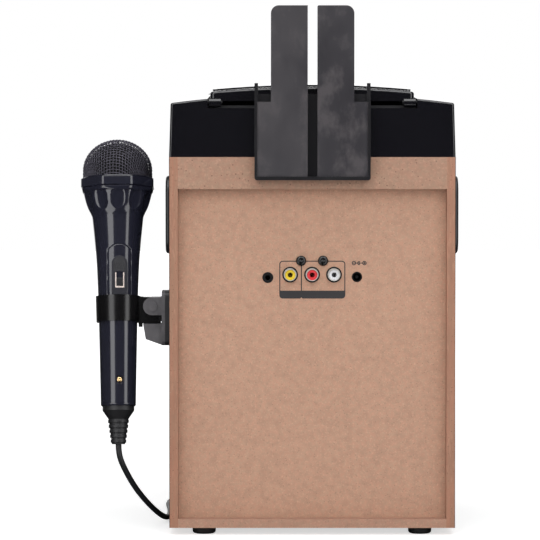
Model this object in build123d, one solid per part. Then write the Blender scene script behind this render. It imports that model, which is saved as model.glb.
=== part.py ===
from build123d import *
import math
import os

# Karaoke machine: a fibreboard cabinet on rubber feet, a moulded top housing with a disc lid over a
# disc tray, a tablet cradle hooked on the back and a wired microphone in a side holder.
# Millimetres. Origin: on the floor under the cabinet's centre. Front is -Y, back is +Y, +Z is up.

# ---- Cabinet ----
cabinet_width = 195.0
cabinet_depth = 190.0
cabinet_height = 253.0
board = 6.0
back_board = 4.0
back_recess = 12.0
rail_height = 21.7
fascia_thickness = 4.0
fascia_corner = 6.0
fascia_edge = 1.5
cleat = 8.0
wood_gap = 0.1

# ---- Feet ----
foot_height = 5.0
foot_radius = 8.0
foot_dome = 2.0
foot_inset = 23.5
foot_rear_inset = 14.0
foot_bore = 3.4
foot_bore_depth = 2.6

# ---- Screws ----
screw_radius = 1.5
screw_head_radius = 3.0
screw_head = 1.8
foot_screw_length = 7.0
jack_screw_radius = 1.4
jack_screw_head_radius = 3.5
jack_screw_head = 2.2
jack_screw_length = 9.0
cross_length = 3.6
cross_width = 0.8
cross_depth = 1.1
screw_hole_gap = 0.2

# ---- Handle cups ----
handle_length = 100.0
handle_height = 53.5
handle_rear_inset = 18.0
handle_below_top = 66.5
handle_proud = 3.0
handle_rim = 8.0
handle_depth = 22.0
handle_wall = 2.0
handle_corner = 12.0
handle_edge = 1.8
handle_gap = 0.3

# ---- Top housing ----
housing_wall = 2.5
housing_edge = 1.6
housing_draft = 1.3
crown_radius = 740.0
crown_tilt = 2.1
housing_rear_height = 43.0
housing_nose_height = 7.0
housing_nose_step = 1.5
slope_back = 34.0
lip_depth = 6.0
lip_gap = 0.3
top_clear = 80.0

# ---- Lid pocket, disc tray and lid ----
lid_width = 139.4
lid_length = 138.0
lid_rear_inset = 12.0
lid_side_gap = 1.6
lid_front_gap = 2.5
lid_proud = 4.2
lid_thick = 9.4
lid_tilt = 2.6
lid_panel_rise = 0.9
lid_panel_inset = 1.3
lid_panel_back = 25.0
lid_wall = 2.0
lid_corner = 3.0
lid_edge = 1.8
pocket_floor_height = 33.2
tray_rear_reach = 2.0
tray_thick = 2.0
tray_gap = 0.4
disc_radius = 60.0
disc_thick = 1.2
well_gap = 3.0
well_depth = 12.0
well_wall = 1.8
window_radius = 41.7
window_gap = 0.3
window_ledge = 2.0
window_thick = 1.0
hinge_pin_radius = 1.5
hinge_running_gap = 0.05
hinge_knuckle_radius = 3.0
hinge_knuckle_length = 8.0
hinge_knuckle_inset = 1.0
hinge_rear_inset = 4.5
hinge_above_floor = 3.9

# ---- Controls on the sloping face ----
button_radius = 6.5
button_proud = 2.0
button_flange = 1.5
button_flange_thick = 1.2
button_travel = 1.0
button_gap = 0.3
button_pitch = 22.0
button_row_down = 12.0
button_edge = 0.6
lid_button_length = 34.0
lid_button_height = 7.0
lid_button_up = 15.5
knob_radius = 11.0
knob_height = 12.0
knob_off_face = 0.5
knob_inset = 29.5
knob_up = 4.0
knob_flute_radius = 1.1
knob_flutes = 20
knob_edge = 1.0
pot_shaft_radius = 3.0
pot_body = 14.0
pot_depth = 7.0
lens_length = 60.0
lens_height = 11.0
lens_thick = 1.5
lens_up = 3.5
lens_corner = 2.0
control_board_thick = 1.6
control_board_below = 12.0
control_board_length = 160.0
control_board_height = 28.0
control_board_down = 3.0
board_post_radius = 2.5
board_post_x = 50.0
board_post_y = 9.0
switch_side = 6.0

# ---- Disc drive ----
chassis_below_tray = 10.0
chassis_thick = 2.0
chassis_margin = 2.0
chassis_corner = 6.0
damper_x = 40.0
damper_y = 38.0
damper_radius = 5.0
damper_neck = 3.3
damper_height = 6.0
post_radius = 2.0
running_gap = 0.05
motor_radius = 12.0
motor_height = 10.0
spindle_radius = 1.0
hub_radius = 15.0
hub_thick = 2.5
hub_cone_radius = 7.4
hub_cone_height = 4.0
hub_below_disc = 2.5
sled_length = 24.0
sled_width = 44.0
sled_height = 7.0
sled_first = 31.0
sled_travel = 24.0
rod_radius = 1.5
rod_spacing = 34.0
rod_above_chassis = 5.0
rod_block = 6.0
lens_barrel_radius = 3.0
lens_barrel_height = 2.0
lens_gap = 1.0
gear_radius = 6.0
gear_teeth = 18
gear_tooth = 1.0
gear_thick = 2.5
gear_rack_gap = 0.4
gear_hub_radius = 2.0
sled_motor_radius = 6.0
sled_motor_length = 18.0
sled_motor_flat = 0.5

# ---- Speaker ----
speaker_above_grille = 80.0
speaker_radius = 64.0
speaker_flange = 2.0
speaker_hole_radius = 56.0
basket_depth = 32.0
basket_neck_radius = 32.0
basket_wall = 1.6
cone_wall = 1.0
cone_neck_radius = 16.0
cone_depth = 22.0
cone_edge_gap = 0.5
dust_cap_rise = 6.0
magnet_radius = 35.0
magnet_thick = 15.0
grille_side_margin = 18.5
grille_top_margin = 18.0
grille_bottom = 70.0
grille_thick = 1.0
grille_rebate = 4.0
grille_gap = 0.2

# ---- Boards and jacks ----
board_length = 120.0
board_width = 80.0
board_thick = 1.6
standoff_height = 6.0
standoff_radius = 3.0
chip_height = 6.0
heatsink_height = 22.0
capacitor_radius = 6.0
capacitor_height = 16.0
rca_pitch = 15.0
rca_height = 177.6
rca_shell_radius = 4.1
rca_shell_wall = 0.5
rca_root_radius = 4.4
rca_root_proud = 0.3
rca_proud = 7.0
rca_hole_radius = 5.45
rca_boss_radius = 5.3
rca_boss_short = 0.6
rca_insert_short = 1.2
rca_contact_radius = 1.7
rca_length = 10.0
block_side = 8.0
block_below = 8.0
block_above = 14.0
block_depth = 11.0
jack_screw_above = 9.5
aux_offset = 30.3
aux_below = 2.0
aux_radius = 3.65
aux_bore_radius = 1.8
aux_body = 10.0
dc_offset = 30.7
dc_below = 1.6
dc_radius = 3.45
dc_bore_radius = 2.75
dc_pin_radius = 0.9
dc_wall = 0.3
jack_gap = 0.15
mic_jack_offset = 20.0
mic_jack_height = 38.0
mic_jack_radius = 6.0
mic_jack_bore_radius = 3.3
mic_jack_nut_radius = 8.0
mic_jack_nut = 2.0
mic_jack_length = 16.0

# ---- Microphone ----
mic_off_side = 36.0
mic_y = 68.0
mic_tilt = 8.0
mic_roll = 0.46
mic_hang = 86.2
mic_length = 184.8
mic_grille_start = 156.7
mic_grille_radius = 24.1
mic_grille_wall = 1.5
mic_collar_start = 147.3
mic_collar_radius = 25.0
mic_collar_edge = 1.2
mic_collar_sides = 8
mic_collar_turn = 6.0
mic_bowl_radius = 23.5
mic_bowl_start = 130.2
mic_shoulder_radius = 17.8
mic_neck_start = 114.1
mic_neck_radius = 16.3
mic_waist_start = 99.3
mic_waist_radius = 15.1
mic_clip_end = 75.8
mic_clip_top_radius = 14.1
mic_clip_start = 58.0
mic_clip_bottom_radius = 13.6
mic_bottom_radius = 12.2
mic_wall = 2.0
mic_capsule_radius = 13.0
mic_capsule_height = 12.0
switch_pad_width = 10.7
switch_pad_start = 77.4
switch_pad_length = 25.3
switch_pad_proud = 0.6
switch_slot_width = 4.6
switch_slot_up = 3.2
switch_slot_length = 11.0
switch_slot_depth = 2.5
switch_length = 7.0
switch_proud = 1.4
switch_gap = 0.2
switch_travel = 4.0
relief_cup_radius = 10.9
relief_cup_height = 3.0
relief_neck_radius = 6.8
relief_end_radius = 4.5
relief_cup_length = 8.9
relief_boot_length = 17.0
relief_ribs = 5
relief_rib_height = 2.2
relief_rib_proud = 0.7
mic_lift = 50.0

# ---- Microphone holder ----
holder_plate = 5.5
holder_below_clip = 15.3
holder_plate_height = 37.3
holder_plate_width = 30.0
holder_plate_corner = 4.0
cheek_reach = 18.5
cheek_thick = 3.0
cheek_above_clip = 5.2
cheek_height = 12.4
gusset_below_clip = 0.7
gusset_tip_drop = 10.6
gusset_tip_back = 1.8
clip_screw_radius = 2.0
clip_screw_gap = 0.05
clip_screw_head_radius = 3.6
clip_screw_head = 1.2
clip_wall = 1.1
clip_gap = 0.3
clip_mouth = 20.0
clip_neck_width = 9.0
clip_tongue_gap = 0.2
clip_tongue_start = 1.0
clip_nub_radius = 1.4
clip_nub_drop = 3.2
clip_nub_in = 2.0

# ---- Cord ----
cord_diameter = 4.0
cord_length = 2500.0
coil_turn_diameter = 48.0
coil_rows = 4
coil_layers = 4
coil_x = 42.0
coil_y = -146.0
coil_corner = 3.0
plug_barrel_radius = 6.0
plug_barrel_length = 30.0
plug_tail_radius = 3.4
plug_tail_length = 16.0
plug_pin_radius = 3.15
plug_pin_length = 30.0
plug_groove_radius = 2.3
plug_angle = 120.0
plug_off_coil = 14.0

# ---- Tablet cradle ----
cradle_width = 78.6
cradle_off_cabinet = 2.2
cradle_wall = 2.5
cradle_cheek = 1.6
cradle_overlap = 15.6
cradle_rim = 2.4
cradle_corner = 1.7
cradle_depth = 10.0
cradle_back_height = 58.4
cradle_post_width = 2.4
cradle_post_height = 65.7
cradle_post_depth = 5.0
arm_gap = 6.6
arm_width = 24.9
arm_shoulder_height = 53.0
arm_height = 118.1
arm_thick = 6.0
arm_skin = 2.0
arm_hollow_start = 61.6
arm_corner = 5.4
arm_inner_corner = 1.0
plate_gap = 0.1
hook_spacing = 50.0
hook_width = 8.0
hook_up = 4.0
hook_drop = 8.0
hook_neck = 6.0
hook_thick = 2.2
hook_gap = 0.3
cradle_lift = 8.0

# ---- Worked-out places ----
side_x = cabinet_width / 2
inner_x = side_x - board
rear_y = cabinet_depth / 2
fascia_front_y = -cabinet_depth / 2
board_front_y = fascia_front_y + fascia_thickness
baffle_rear_y = board_front_y + board
cabinet_bottom = foot_height
floor_top = cabinet_bottom + board
cabinet_top = cabinet_bottom + cabinet_height
back_outer_y = rear_y - back_recess
back_inner_y = back_outer_y - back_board
handle_rear_y = rear_y - handle_rear_inset
handle_middle_y = handle_rear_y - handle_length / 2
handle_bottom = cabinet_top - handle_below_top
handle_middle_z = handle_bottom + handle_height / 2
crown_top = cabinet_top + housing_rear_height
pocket_floor = cabinet_top + pocket_floor_height
lid_rear_y = rear_y - lid_rear_inset
lid_front_y = lid_rear_y - lid_length
pocket_front_y = lid_front_y - lid_front_gap
pocket_half = lid_width / 2 + lid_side_gap
crown_rise = math.tan(math.radians(crown_tilt))
lid_bottom_rear = crown_top + lid_proud - lid_thick + lid_rear_inset * crown_rise
lid_bottom_front = lid_bottom_rear + lid_length * crown_rise
hinge_y = rear_y - hinge_rear_inset
hinge_z = pocket_floor + hinge_above_floor
disc_y = (lid_rear_y + lid_front_y) / 2
tray_top = pocket_floor + tray_thick
well_radius = disc_radius + well_gap
well_floor = tray_top - well_depth
disc_z = well_floor + well_depth / 2
slope_front_y = fascia_front_y + housing_nose_step
slope_rear_y = slope_front_y + slope_back
slope_bottom_z = cabinet_top + housing_nose_height
slope_top_z = crown_top + (rear_y - slope_rear_y) * crown_rise
slope_angle = math.degrees(math.atan2(slope_top_z - slope_bottom_z, slope_back))
slope_middle = (0, (slope_front_y + slope_rear_y) / 2, (slope_bottom_z + slope_top_z) / 2)
slope_out = (0, -math.sin(math.radians(slope_angle)), math.cos(math.radians(slope_angle)))
slope_face = Plane(origin=slope_middle, x_dir=(1, 0, 0), z_dir=slope_out)
chassis_top = well_floor - well_wall - chassis_below_tray
chassis_bottom = chassis_top - chassis_thick
sled_rest_y = disc_y - sled_first
rod_z = chassis_top + rod_above_chassis
gear_x = sled_width / 2 + gear_rack_gap + gear_radius
gear_y = sled_rest_y
block_half = rca_pitch + block_side
grille_width = cabinet_width - 2 * grille_side_margin
grille_height = cabinet_top - grille_top_margin - grille_bottom
speaker_height = grille_bottom + speaker_above_grille
knob_offset = side_x - knob_inset
mic_x = side_x + mic_off_side
mic_bottom = mic_hang
mic_top = mic_bottom + mic_length
mic_grille_bottom = mic_bottom + mic_grille_start
mic_collar_bottom = mic_bottom + mic_collar_start
mic_bowl_bottom = mic_bottom + mic_bowl_start
mic_neck = mic_bottom + mic_neck_start
mic_waist = mic_bottom + mic_waist_start
mic_clip_top = mic_bottom + mic_clip_end
mic_clip_bottom = mic_bottom + mic_clip_start
switch_pad_bottom = mic_bottom + switch_pad_start
switch_pad_top = switch_pad_bottom + switch_pad_length
switch_slot_bottom = switch_pad_bottom + switch_slot_up
switch_slot_top = switch_slot_bottom + switch_slot_length
relief_cup_bottom = mic_bottom - relief_cup_length
relief_bottom = relief_cup_bottom - relief_boot_length
clip_middle = (mic_clip_bottom + mic_clip_top) / 2
mic_up_x = math.sin(math.radians(mic_roll))
mic_up_y = -math.cos(math.radians(mic_roll)) * math.sin(math.radians(mic_tilt))
mic_up_z = math.cos(math.radians(mic_roll)) * math.cos(math.radians(mic_tilt))
below_clip = clip_middle - relief_bottom
cord_exit_x = mic_x - below_clip * mic_up_x
cord_exit_y = mic_y - below_clip * mic_up_y
cord_exit_z = clip_middle - below_clip * mic_up_z
coil_ring_width = coil_rows * cord_diameter
coil_height = coil_layers * cord_diameter
coil_outer = coil_turn_diameter / 2 + coil_ring_width / 2
coil_inner = coil_turn_diameter / 2 - coil_ring_width / 2
cradle_front_y = rear_y + cradle_off_cabinet
arm_front_y = cradle_front_y + cradle_wall
cradle_bottom = cabinet_top - cradle_overlap
cradle_back_top = cradle_bottom + cradle_back_height
cradle_post_top = cradle_bottom + cradle_post_height
arm_shoulder = cradle_bottom + arm_shoulder_height
arm_top = cradle_bottom + arm_height
arm_hollow_bottom = cradle_bottom + arm_hollow_start
hook_bottom = cabinet_top + hook_up
hook_neck_bottom = hook_bottom + hook_drop
hook_neck_top = hook_neck_bottom + hook_neck
holder_plate_bottom = mic_clip_bottom - holder_below_clip
holder_plate_top = holder_plate_bottom + holder_plate_height
cheek_bottom = mic_clip_bottom + cheek_above_clip
cheek_top = cheek_bottom + cheek_height
gusset_top = mic_clip_bottom - gusset_below_clip
gusset_foot = holder_plate_bottom
cheek_radius = cheek_height / 2
cheek_centre_x = side_x + cheek_reach - cheek_radius
cheek_centre_z = (cheek_top + cheek_bottom) / 2
cheek_inner_y = clip_neck_width / 2 + clip_tongue_gap
clip_neck_x = side_x + cheek_reach

# The cord's route: out of the microphone, down to the floor, along the side and round to the coil.
cord_lead = 7.0
cord_route = [
    (cord_exit_x, cord_exit_y, cord_exit_z),
    (cord_exit_x - cord_lead * mic_up_x, cord_exit_y - cord_lead * mic_up_y, cord_exit_z - cord_lead * mic_up_z),
    (cord_exit_x - 3.6, cord_exit_y - 1.5, cord_exit_z - 16.5),
    (cord_exit_x - 10.5, cord_exit_y - 12.5, cord_exit_z - 31),
    (cord_exit_x - 20.0, cord_exit_y - 31, cord_exit_z - 45.5),
    (cord_exit_x - 28.6, cord_exit_y - 54, 5.0),
    (cord_exit_x - 32.1, cord_exit_y - 78, 2.0),
    (cord_exit_x - 32.2, cord_exit_y - 106, 2.0),
    (cord_exit_x - 31.2, cord_exit_y - 134, 2.0),
    (cord_exit_x - 28.8, cord_exit_y - 164, 2.0),
    (cord_exit_x - 30, cord_exit_y - 188, 2.0),
    (cord_exit_x - 44.2, cord_exit_y - 206, 2.0),
    (cord_exit_x - 61.2, cord_exit_y - 210, 2.0),
    (coil_x + 12, coil_y + 30.5, 2.0),
    (coil_x, coil_y + 30, 2.0),
]


def block(x, y, z):
    """A box between two limits along each axis."""
    size = Box(abs(x[1] - x[0]), abs(y[1] - y[0]), abs(z[1] - z[0]))
    return Pos(sum(x) / 2, sum(y) / 2, sum(z) / 2) * size


def upright(x, y, z, radius):
    """A cylinder standing between two heights."""
    return Pos(x, y, sum(z) / 2) * Cylinder(radius, z[1] - z[0])


def along_y(x, y, z, radius):
    """A cylinder lying along Y between two limits."""
    return Pos(x, sum(y) / 2, z) * Rot(90, 0, 0) * Cylinder(radius, y[1] - y[0])


def along_x(x, y, z, radius):
    """A cylinder lying along X between two limits."""
    return Pos(sum(x) / 2, y, z) * Rot(0, 90, 0) * Cylinder(radius, x[1] - x[0])


def lathe(*points):
    """A solid turned about Z from an outline of (radius, height) points."""
    return revolve(Plane.XZ * make_face(Polyline(*points, close=True)), Axis.Z)


def side_form(*points):
    """A solid of the cabinet's full width and more, from an outline of (y, z) points."""
    face = Plane.YZ * make_face(Polyline(*points, close=True))
    return extrude(face, amount=cabinet_width, both=True)


def rounded_plate(x, y, z, corner):
    """A box whose edges along X are rounded."""
    plate = block(x, y, z)
    return fillet(plate.edges().filter_by(Axis.X), corner)


def ring_of(count, radius, make):
    """Copies of a shape at even angles about Z."""
    return [Rot(0, 0, number * 360 / count) * Pos(radius, 0, 0) * make for number in range(count)]


# ---- Cabinet pieces ----

def side_panel(side):
    panel = block(
        (side * inner_x, side * side_x), (board_front_y, rear_y), (cabinet_bottom, cabinet_top))
    half_length = handle_length / 2 - handle_rim + handle_gap
    half_height = handle_height / 2 - handle_rim + handle_gap
    opening = rounded_plate(
        (side * (inner_x - board), side * (side_x + board)),
        (handle_middle_y - half_length, handle_middle_y + half_length),
        (handle_middle_z - half_height, handle_middle_z + half_height),
        handle_corner - handle_rim + handle_gap)
    return panel - opening


def handle_cup(side):
    """A moulded cup through the side panel, with a proud rounded rim."""
    rim = rounded_plate(
        (side * side_x, side * (side_x + handle_proud)),
        (handle_middle_y - handle_length / 2, handle_middle_y + handle_length / 2),
        (handle_bottom, handle_bottom + handle_height),
        handle_corner)
    outer_face = rim.faces().sort_by(Axis.X)[-1 if side > 0 else 0]
    rim = fillet(outer_face.edges(), handle_edge)
    half_length = handle_length / 2 - handle_rim
    half_height = handle_height / 2 - handle_rim
    corner = handle_corner - handle_rim
    cup = rounded_plate(
        (side * (side_x - handle_depth), side * (side_x + handle_proud / 2)),
        (handle_middle_y - half_length, handle_middle_y + half_length),
        (handle_middle_z - half_height, handle_middle_z + half_height),
        corner)
    hollow = rounded_plate(
        (side * (side_x - handle_depth + handle_wall), side * (side_x + handle_proud * 2)),
        (handle_middle_y - half_length + handle_wall, handle_middle_y + half_length - handle_wall),
        (handle_middle_z - half_height + handle_wall, handle_middle_z + half_height - handle_wall),
        corner - handle_wall / 2)
    return rim + cup - hollow


def bottom_panel():
    panel = block((-inner_x, inner_x), (board_front_y, rear_y), (cabinet_bottom, floor_top))
    for x, y in foot_places():
        panel -= upright(x, y, (cabinet_bottom - board, floor_top - wood_gap), screw_radius)
    return panel


def rear_top_rail():
    return block((-inner_x, inner_x), (back_outer_y, rear_y), (cabinet_top - rail_height, cabinet_top))


def jack_places():
    """The jack holes in the back panel: x, z and radius."""
    places = [(number * rca_pitch, rca_height, rca_hole_radius) for number in (-1, 0, 1)]
    places.append((aux_offset, rca_height - aux_below, aux_radius + jack_gap))
    places.append((-dc_offset, rca_height - dc_below, dc_radius + jack_gap))
    return places


def jack_screw_places():
    return [(side * rca_pitch / 2, rca_height + jack_screw_above) for side in (-1, 1)]


def back_panel():
    panel = block((-inner_x, inner_x), (back_inner_y, back_outer_y), (floor_top, cabinet_top))
    for x, z, radius in jack_places():
        panel -= along_y(x, (back_inner_y - board, rear_y), z, radius)
    for x, z in jack_screw_places():
        panel -= along_y(x, (back_inner_y - board, rear_y), z, jack_screw_radius + screw_hole_gap)
    return panel


def mic_jack_places():
    return [-mic_jack_offset, mic_jack_offset]


def front_baffle():
    panel = block((-inner_x, inner_x), (board_front_y, baffle_rear_y), (floor_top, cabinet_top))
    panel -= along_y(0, (fascia_front_y, baffle_rear_y + board), speaker_height, speaker_hole_radius)
    for x in mic_jack_places():
        panel -= along_y(x, (fascia_front_y, baffle_rear_y + board), mic_jack_height,
                         mic_jack_radius + jack_gap)
    return panel


def corner_cleats():
    cleats = []
    for side in (-1, 1):
        for y in (baffle_rear_y, back_inner_y - cleat):
            cleats.append(block(
                (side * (inner_x - cleat), side * inner_x), (y, y + cleat),
                (floor_top, cabinet_top - lip_depth - cleat)))
    return Compound(cleats)


def foot_places():
    rear = rear_y - foot_rear_inset
    front = board_front_y + foot_rear_inset
    return [(side * (side_x - foot_inset), y) for side in (-1, 1) for y in (front, rear)]


def rubber_feet():
    foot = upright(0, 0, (0, foot_height), foot_radius)
    foot = fillet(foot.edges().filter_by(GeomType.CIRCLE).sort_by(Axis.Z)[0], foot_dome)
    foot -= upright(0, 0, (0, foot_bore_depth), foot_bore)
    foot -= upright(0, 0, (0, foot_height), screw_radius)
    return Compound([Pos(x, y, 0) * foot for x, y in foot_places()])


def foot_screws():
    shank = upright(0, 0, (foot_bore_depth - screw_head, foot_screw_length + foot_bore_depth), screw_radius)
    head = upright(0, 0, (foot_bore_depth - screw_head, foot_bore_depth), screw_head_radius)
    screw = shank + head - cross_cut(foot_bore_depth - screw_head)
    return Compound([Pos(x, y, 0) * screw for x, y in foot_places()])


def cross_cut(height):
    """The cross in a screw head that faces down, at a height."""
    depth = (height - cross_depth, height + cross_depth)
    long_half = cross_length / 2
    short_half = cross_width / 2
    first = block((-long_half, long_half), (-short_half, short_half), depth)
    return first + block((-short_half, short_half), (-long_half, long_half), depth)


def front_fascia():
    plate = block((-side_x, side_x), (fascia_front_y, board_front_y), (cabinet_bottom, cabinet_top))
    front = plate.faces().sort_by(Axis.Y)[0]
    plate = fillet(front.edges(), fascia_edge)
    half = grille_width / 2 - grille_rebate
    plate -= block(
        (-half, half), (fascia_front_y - board, board_front_y + board),
        (grille_bottom + grille_rebate, grille_bottom + grille_height - grille_rebate))
    plate -= block(
        (-grille_width / 2, grille_width / 2), (board_front_y - grille_thick - grille_gap, board_front_y),
        (grille_bottom, grille_bottom + grille_height))
    for x in mic_jack_places():
        plate -= along_y(x, (fascia_front_y - board, baffle_rear_y), mic_jack_height,
                         mic_jack_radius + jack_gap)
    return plate


def speaker_grille():
    half = grille_width / 2 - grille_gap
    return block(
        (-half, half), (board_front_y - grille_thick, board_front_y),
        (grille_bottom + grille_gap, grille_bottom + grille_height - grille_gap))


# ---- Speaker ----

def facing_front(shape):
    """Turn a shape made along +Z so that +Z points to the back, at the speaker's place."""
    return Pos(0, baffle_rear_y, speaker_height) * Rot(-90, 0, 0) * shape


def speaker_frame():
    rim = speaker_hole_radius
    outline = lathe(
        (rim, 0), (speaker_radius, 0), (speaker_radius, speaker_flange), (rim + basket_wall, speaker_flange),
        (basket_neck_radius + basket_wall, basket_depth), (cone_neck_radius, basket_depth),
        (cone_neck_radius, basket_depth - basket_wall), (basket_neck_radius, basket_depth - basket_wall),
        (rim, speaker_flange))
    window = block((basket_neck_radius, speaker_radius), (-basket_neck_radius / 2, basket_neck_radius / 2),
                   (speaker_flange * 3, basket_depth - speaker_flange * 3))
    for number in range(4):
        outline -= Rot(0, 0, 45 + number * 90) * window
    return facing_front(outline)


def speaker_cone():
    rim = speaker_hole_radius - cone_edge_gap
    half_rim = rim - speaker_flange * 4
    cone = lathe(
        (rim, 0), (rim, cone_wall), (half_rim, cone_wall * 2), (cone_neck_radius, cone_depth + cone_wall),
        (0, cone_depth + cone_wall), (0, cone_depth - dust_cap_rise),
        (cone_neck_radius / 2, cone_depth - dust_cap_rise * 0.75),
        (cone_neck_radius, cone_depth), (half_rim, cone_wall), (half_rim + speaker_flange * 2, -cone_wall))
    return facing_front(cone)


def speaker_magnet():
    former = upright(0, 0, (cone_depth + cone_wall, basket_depth), cone_neck_radius - cone_wall)
    magnet = upright(0, 0, (basket_depth, basket_depth + magnet_thick), magnet_radius)
    return facing_front(former + magnet)


# ---- Top housing ----

def crown(height, radius, lean):
    """A huge cylinder, leaning by some degrees, whose top line is the crown of the housing or lid."""
    tilt = math.radians(lean)
    place = Pos(0, rear_y - radius * math.sin(tilt), height - radius * math.cos(tilt))
    return place * Rot(90 - lean, 0, 0) * Cylinder(radius, crown_radius)


def housing_form(inset):
    """The housing's outer form, drawn in by inset everywhere but at its open bottom."""
    peak = crown_top + top_clear
    lean = math.tan(math.radians(slope_angle))
    inset_along = inset / math.sin(math.radians(slope_angle))
    slope_foot_y = slope_front_y + inset_along
    profile = side_form(
        (rear_y - inset, cabinet_top), (rear_y - inset, peak),
        (slope_foot_y + (peak - slope_bottom_z) / lean, peak), (slope_foot_y, slope_bottom_z),
        (fascia_front_y + inset, slope_bottom_z - inset), (fascia_front_y + inset, cabinet_top))
    top_half = side_x - inset - housing_draft * (peak - cabinet_top) / housing_rear_height
    ends = Plane.XZ * make_face(Polyline(
        (-side_x + inset, cabinet_top), (side_x - inset, cabinet_top),
        (top_half, peak), (-top_half, peak), close=True))
    ends = extrude(ends, amount=cabinet_depth, both=True)
    return profile & ends & crown(crown_top - inset, crown_radius - inset, crown_tilt)


def pocket_box(grow, low):
    """The space of the lid pocket, open to the back."""
    return block(
        (-pocket_half - grow, pocket_half + grow), (pocket_front_y - grow, rear_y + board),
        (low, crown_top + top_clear))


def hook_places():
    return [side * hook_spacing / 2 for side in (-1, 1)]


def top_housing():
    form = housing_form(0)
    form = fillet(form.edges().filter_by(lambda edge: edge.center().Z > slope_bottom_z + board), housing_edge)
    shell = form - housing_form(housing_wall) - housing_floor_cut()
    shell += pocket_box(housing_wall, pocket_floor - housing_wall) & housing_form(housing_wall / 2)
    shell -= pocket_box(0, pocket_floor)
    shell -= upright(0, disc_y, (cabinet_top, crown_top), well_radius + well_wall + tray_gap)
    shell += housing_lip()
    for side in (-1, 1):
        shell -= along_x(
            (side * pocket_half - housing_wall * 2, side * pocket_half + housing_wall * 2),
            hinge_y, hinge_z, hinge_pin_radius)
    for x in hook_places():
        shell -= block(
            (x - hook_width / 2 - hook_gap, x + hook_width / 2 + hook_gap), (back_outer_y, rear_y + board),
            (hook_neck_bottom, hook_neck_top + cradle_lift + hook_gap))
    for cut in control_cuts():
        shell -= cut
    for post in board_posts():
        shell += post
    return shell


def housing_floor_cut():
    """Opens the housing's bottom inside its walls."""
    return block(
        (-side_x + housing_wall, side_x - housing_wall),
        (fascia_front_y + housing_wall, rear_y - housing_wall),
        (cabinet_top - board, cabinet_top + housing_wall))


def housing_lip():
    """A flange on the cabinet's top edges, with a lip that fits inside the cabinet."""
    lip_x = inner_x - lip_gap
    lip_front = baffle_rear_y + lip_gap
    lip_rear = back_inner_y - lip_gap
    hole = block(
        (-lip_x + housing_wall, lip_x - housing_wall), (lip_front + housing_wall, lip_rear - housing_wall),
        (cabinet_top - board * 2, cabinet_top + board))
    flange = block(
        (-side_x + housing_wall / 2, side_x - housing_wall / 2),
        (fascia_front_y + housing_wall / 2, rear_y - housing_wall / 2),
        (cabinet_top, cabinet_top + housing_wall))
    lip = block((-lip_x, lip_x), (lip_front, lip_rear), (cabinet_top - lip_depth, cabinet_top + housing_wall))
    return flange + lip - hole


# ---- Controls ----

def control_spots():
    """The round buttons' places along the sloping face, by name."""
    names = ["skip_button", "play_button", "stop_button", "power_button"]
    return {name: (number - (len(names) - 1) / 2) * button_pitch for number, name in enumerate(names)}


def control_cuts():
    """Every hole that the controls need in the sloping face."""
    reach = housing_wall * 4
    button_hole = Cylinder(button_radius + button_gap, reach)
    shaft_hole = Cylinder(pot_shaft_radius + button_gap, reach)
    cuts = [Pos(x, -button_row_down, 0) * button_hole for x in control_spots().values()]
    cuts += [Pos(side * knob_offset, knob_up, 0) * shaft_hole for side in (-1, 1)]
    cuts.append(Pos(0, lid_button_up, 0) * Box(
        lid_button_length + button_gap * 2, lid_button_height + button_gap * 2, reach))
    cuts.append(Pos(0, lens_up, 0) * Box(
        lens_length + wood_gap * 2, lens_height + wood_gap * 2, lens_thick * 2))
    return [slope_face * cut for cut in cuts]


def board_posts():
    """The posts under the sloping face that carry the control board."""
    span = control_board_below - housing_wall / 2
    post = Cylinder(board_post_radius, span)
    middle = -control_board_below + span / 2
    places = [(x, y) for x in (-board_post_x, board_post_x) for y in (-board_post_y, board_post_y)]
    return [slope_face * Pos(x, y, middle) * post for x, y in places]


def round_button(x):
    """A round cap with a flange under the face that keeps it in."""
    low = -housing_wall - button_travel - button_flange_thick
    cap = Pos(0, 0, (button_proud + low) / 2) * Cylinder(button_radius, button_proud - low)
    cap = fillet(cap.edges().filter_by(GeomType.CIRCLE).sort_by(Axis.Z)[-1], button_edge)
    flange_top = -housing_wall - button_gap / 2
    flange = Pos(0, 0, flange_top - button_flange_thick / 2) * Cylinder(
        button_radius + button_flange, button_flange_thick)
    return slope_face * Pos(x, -button_row_down, 0) * (cap + flange)


def lid_button():
    low = -housing_wall - button_travel - button_flange_thick
    cap = Pos(0, 0, (button_proud + low) / 2) * Box(
        lid_button_length, lid_button_height, button_proud - low)
    cap = fillet(cap.edges().filter_by(Axis.Z), lid_button_height / 4)
    cap = fillet(cap.faces().sort_by(Axis.Z)[-1].edges(), button_edge)
    flange = Pos(0, 0, -housing_wall - button_gap / 2 - button_flange_thick / 2) * Box(
        lid_button_length + button_flange * 2, lid_button_height + button_gap * 2, button_flange_thick)
    return slope_face * Pos(0, lid_button_up, 0) * (cap + flange)


def knob(side):
    """A fluted knob on its potentiometer's shaft."""
    cap = Pos(0, 0, knob_off_face + knob_height / 2) * Cylinder(knob_radius, knob_height)
    cap = fillet(cap.edges().filter_by(GeomType.CIRCLE).sort_by(Axis.Z)[-1], knob_edge)
    flute = Pos(0, 0, knob_off_face + knob_height / 2) * Cylinder(knob_flute_radius, knob_height)
    for copy in ring_of(knob_flutes, knob_radius + knob_flute_radius / 2, flute):
        cap -= copy
    pointer = Pos(0, knob_radius * 0.6, knob_off_face + knob_height) * Box(
        knob_flute_radius, knob_radius * 0.6, knob_flute_radius)
    shaft_low = -control_board_below + pot_depth + running_gap
    shaft = Pos(0, 0, (shaft_low + knob_off_face) / 2) * Cylinder(
        pot_shaft_radius, knob_off_face - shaft_low)
    return slope_face * Pos(side * knob_offset, knob_up, 0) * (cap - pointer + shaft)


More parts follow.
